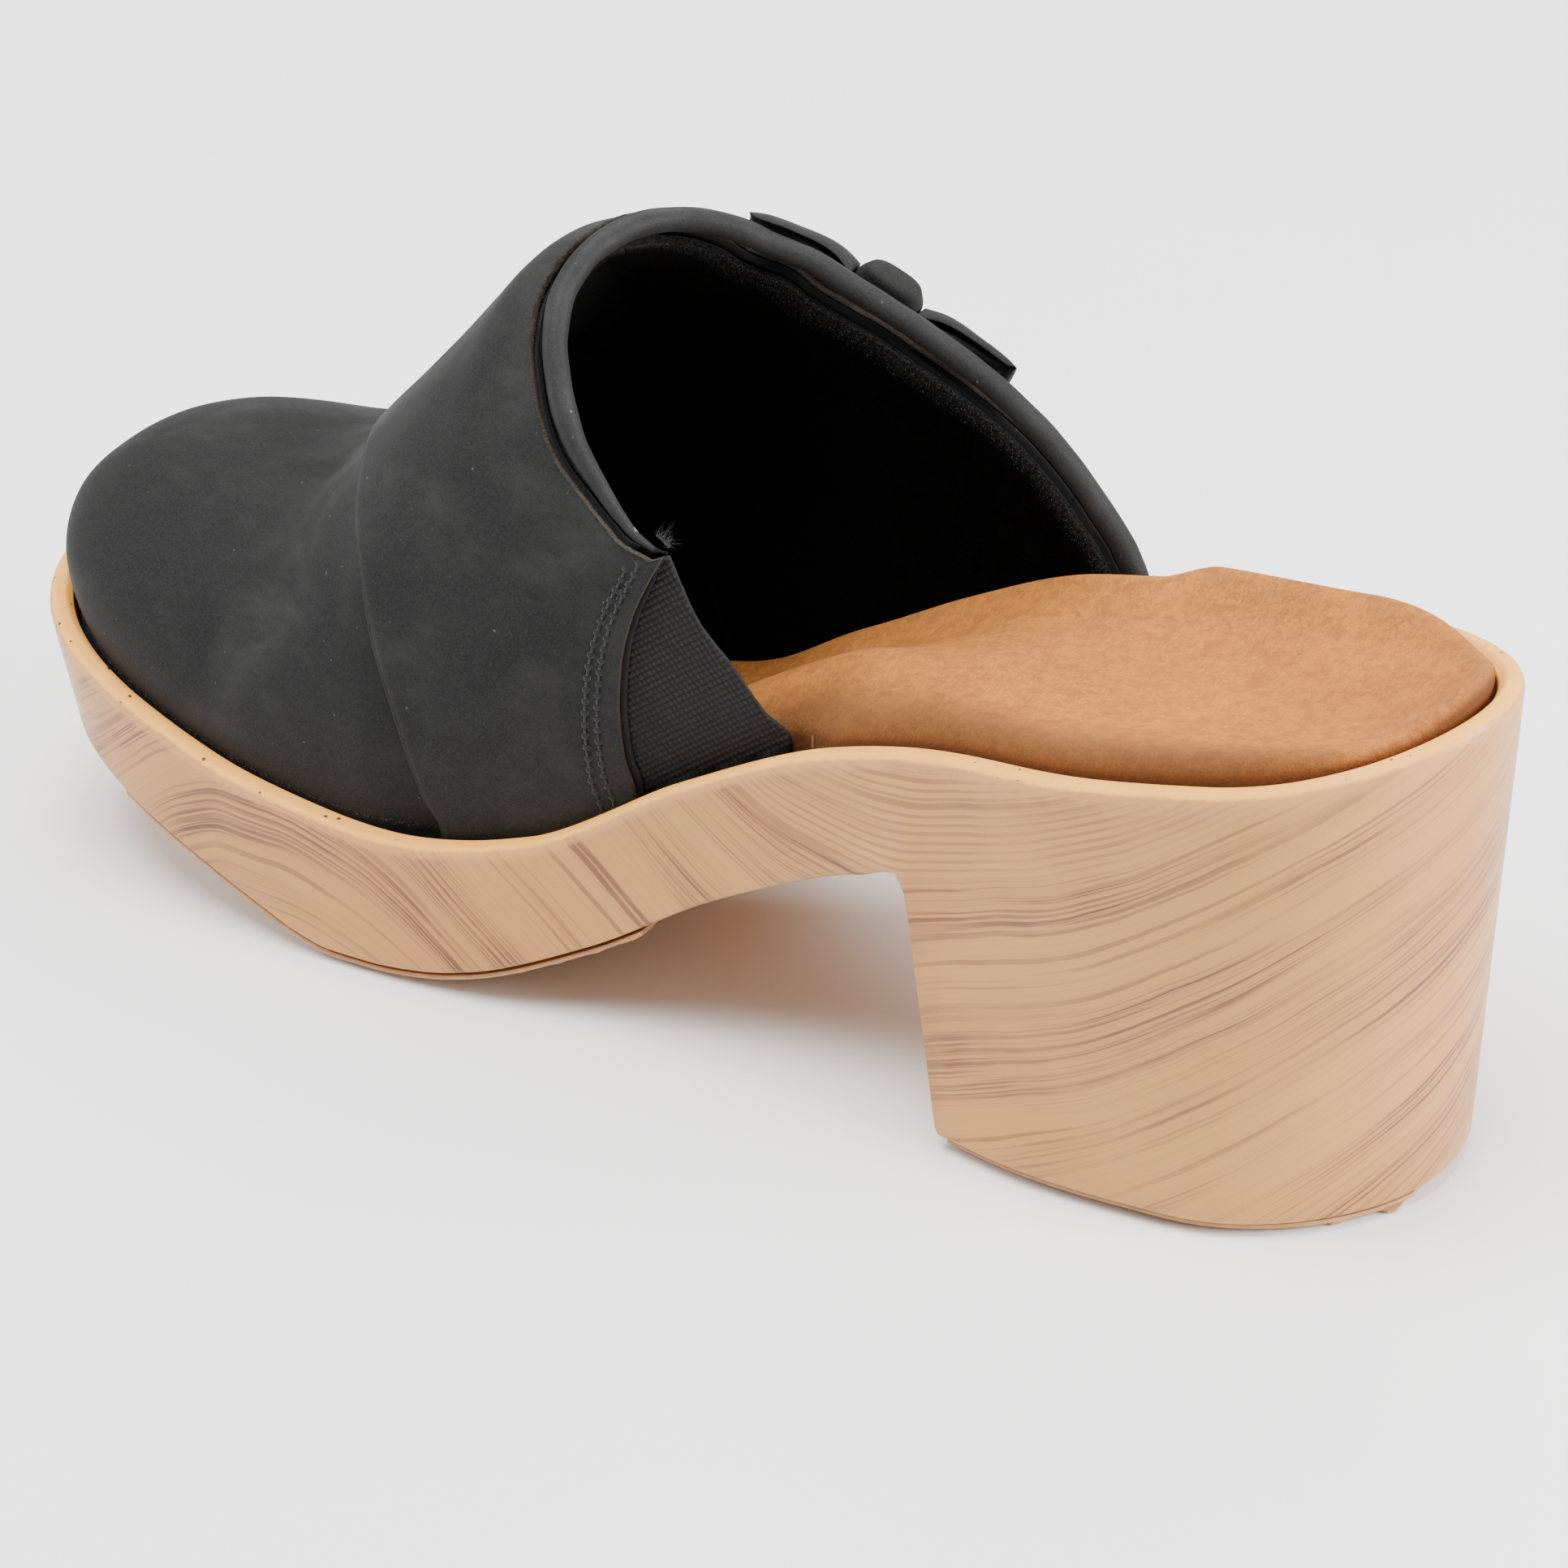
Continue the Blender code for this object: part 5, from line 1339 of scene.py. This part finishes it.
def dress_frame():
    """Materials of the CAD pieces that stay.

    The foam is brown like its cover, not cream, because it comes through the cover a
    little where the footbed narrows in a step; the colour only hides that.
    """
    steel = plain_grain("zinc_plated_steel", (150, 152, 156), (196, 198, 202), 3, 0.34, 0.02, 1.0)
    looks = {
        "heel_core": plain_grain("moulded_abs", (58, 58, 60), (74, 74, 76), 4, 0.5),
        "insole_board": plain_grain("fibreboard", (140, 108, 76), (166, 134, 98), 2, 0.85, 0.1),
        "footbed_foam": plain_grain("latex_foam", (140, 90, 44), (164, 108, 56), 1.2, 0.9, 0.2),
        "toe_puff": plain_grain("toe_stiffener_felt", (190, 184, 170), (210, 204, 192), 1, 0.85, 0.1),
        "quarter_facing": plain_grain("facing_split", (30, 30, 31), (44, 44, 46), 1.5, 0.85, 0.1),
        "piping_cord": plain_grain("twisted_cord", (180, 176, 166), (204, 200, 190), 0.8, 0.9, 0.1),
    }
    for name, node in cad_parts.items():
        mat = looks.get(name)
        if mat is None and ("heel_screw" in name or "nail" in name or "shank" in name):
            mat = steel
        if mat is not None:
            node.data.materials.clear()
            node.data.materials.append(mat)


# ---------------------------------------------------------------- studio

def floor():
    """Pale flat floor."""
    mat, tree, shader = surface("studio_paper", 0.9)
    tone = mix(tree, noise(tree, millimetres(tree), 60, 2), srgb(240, 240, 240), srgb(243, 243, 243))
    finish_shader(tree, shader, tone)
    mesh = bpy.data.meshes.new("studio_floor")
    size = 6.0
    mesh.from_pydata([(-size, -size, 0), (size, -size, 0), (size, size, 0), (-size, size, 0)], [],
                     [(0, 1, 2, 3)])
    mesh.materials.append(mat)
    link("studio_floor", mesh)


def area_light(name, place, target, size, power):
    """Soft box aimed at a point."""
    light = bpy.data.lights.new(name, "AREA")
    light.shape = "SQUARE"
    light.size = size
    light.energy = power
    obj = link(name, light)
    obj.location = place
    z = unit(np.array(place) - np.array(target))
    x = unit(np.cross(np.array([0, 0, 1.0]), z))
    obj.rotation_euler = Matrix((x, np.cross(z, x), z)).transposed().to_euler()


def studio():
    """Even white surroundings with soft boxes above, behind and beside."""
    world = bpy.data.worlds.new("studio_world")
    world.use_nodes = True
    background = world.node_tree.nodes["Background"]
    background.inputs["Color"].default_value = (1.0, 1.0, 1.0, 1.0)
    background.inputs["Strength"].default_value = 0.38
    bpy.context.scene.world = world
    area_light("key_box", (0.1, 0.25, 1.4), (0, 0, 0.05), 0.9, 42.0)
    area_light("back_box", (0.2, -0.9, 0.9), (0, 0, 0.08), 0.8, 12.0)
    area_light("heel_box", (-1.0, -0.2, 0.5), (-0.08, 0.0, 0.05), 0.6, 26.0)
    area_light("toe_box", (1.0, 0.35, 0.5), (0.08, 0.0, 0.03), 0.6, 10.0)


def camera():
    """Long lens above and behind the inner side."""
    place = (-0.396047, 0.653064, 0.505892)
    right = (-0.856410, -0.516292, 0.002141)
    up = (0.275102, -0.452815, 0.848102)
    back = (-0.436899, 0.726912, 0.529829)
    data = bpy.data.cameras.new("view_camera")
    data.sensor_width = 36.0
    data.lens = 128.68
    data.clip_end = 30.0
    obj = link("view_camera", data)
    turn = Matrix((right, up, back)).transposed().to_4x4()
    turn.translation = place
    obj.matrix_world = turn
    bpy.context.scene.camera = obj


# ---------------------------------------------------------------- assembly

def build_upper():
    black = nubuck("black_nubuck", (17, 17, 17), (38, 38, 37))
    band_mat = nubuck("band_nubuck", (19, 19, 19), (40, 40, 39), edge=(58, 50, 41))
    smooth = nubuck("piping_nubuck", (26, 26, 26), (42, 42, 42), roughness=0.6)
    # painted shade: darker than the other nubuck, for the dark gap between band and piping
    under = nubuck("underlay_nubuck_gap_shade", (12, 12, 12), (20, 20, 20))
    vamp(black)
    instep_band(band_mat)
    gore_edge(nubuck("facing_edge", (16, 15, 14), (28, 27, 25), edge=(24, 22, 19)))
    quarter(under)
    piping(smooth)
    gore(webbing())
    lining(velvet("velvet_pile"))
    toe_lining(velvet("toe_pile"))
    thread = fibre_stuff("sewing_thread", (10, 10, 10), (34, 34, 33))
    stitching(thread, fibre_stuff("hole_shadow", (4, 4, 4), (9, 9, 9)))
    bow_wing("bow_wing_upper", "bow_upper_loop", 1, 0.8, black)
    bow_wing("bow_wing_lower", "bow_lower_loop", -1, 0.0, black)
    bow_centre(band_mat)


def build_fibres():
    grey = fibre_stuff("raw_fibre", (48, 42, 35), (92, 82, 68))
    dark = fibre_stuff("pile_fibre", (8, 8, 8), (24, 24, 24))
    edge_fuzz(grey)
    lining_fuzz(dark)
    corner_tuft(fibre_stuff("frayed_thread", (20, 20, 20), (42, 42, 42)))
    rim_fuzz(fibre_stuff("lint", (34, 34, 34), (84, 80, 72)))


camera()
studio()
floor()
dress_frame()
sole()
treads()
footbed()
build_upper()
build_fibres()
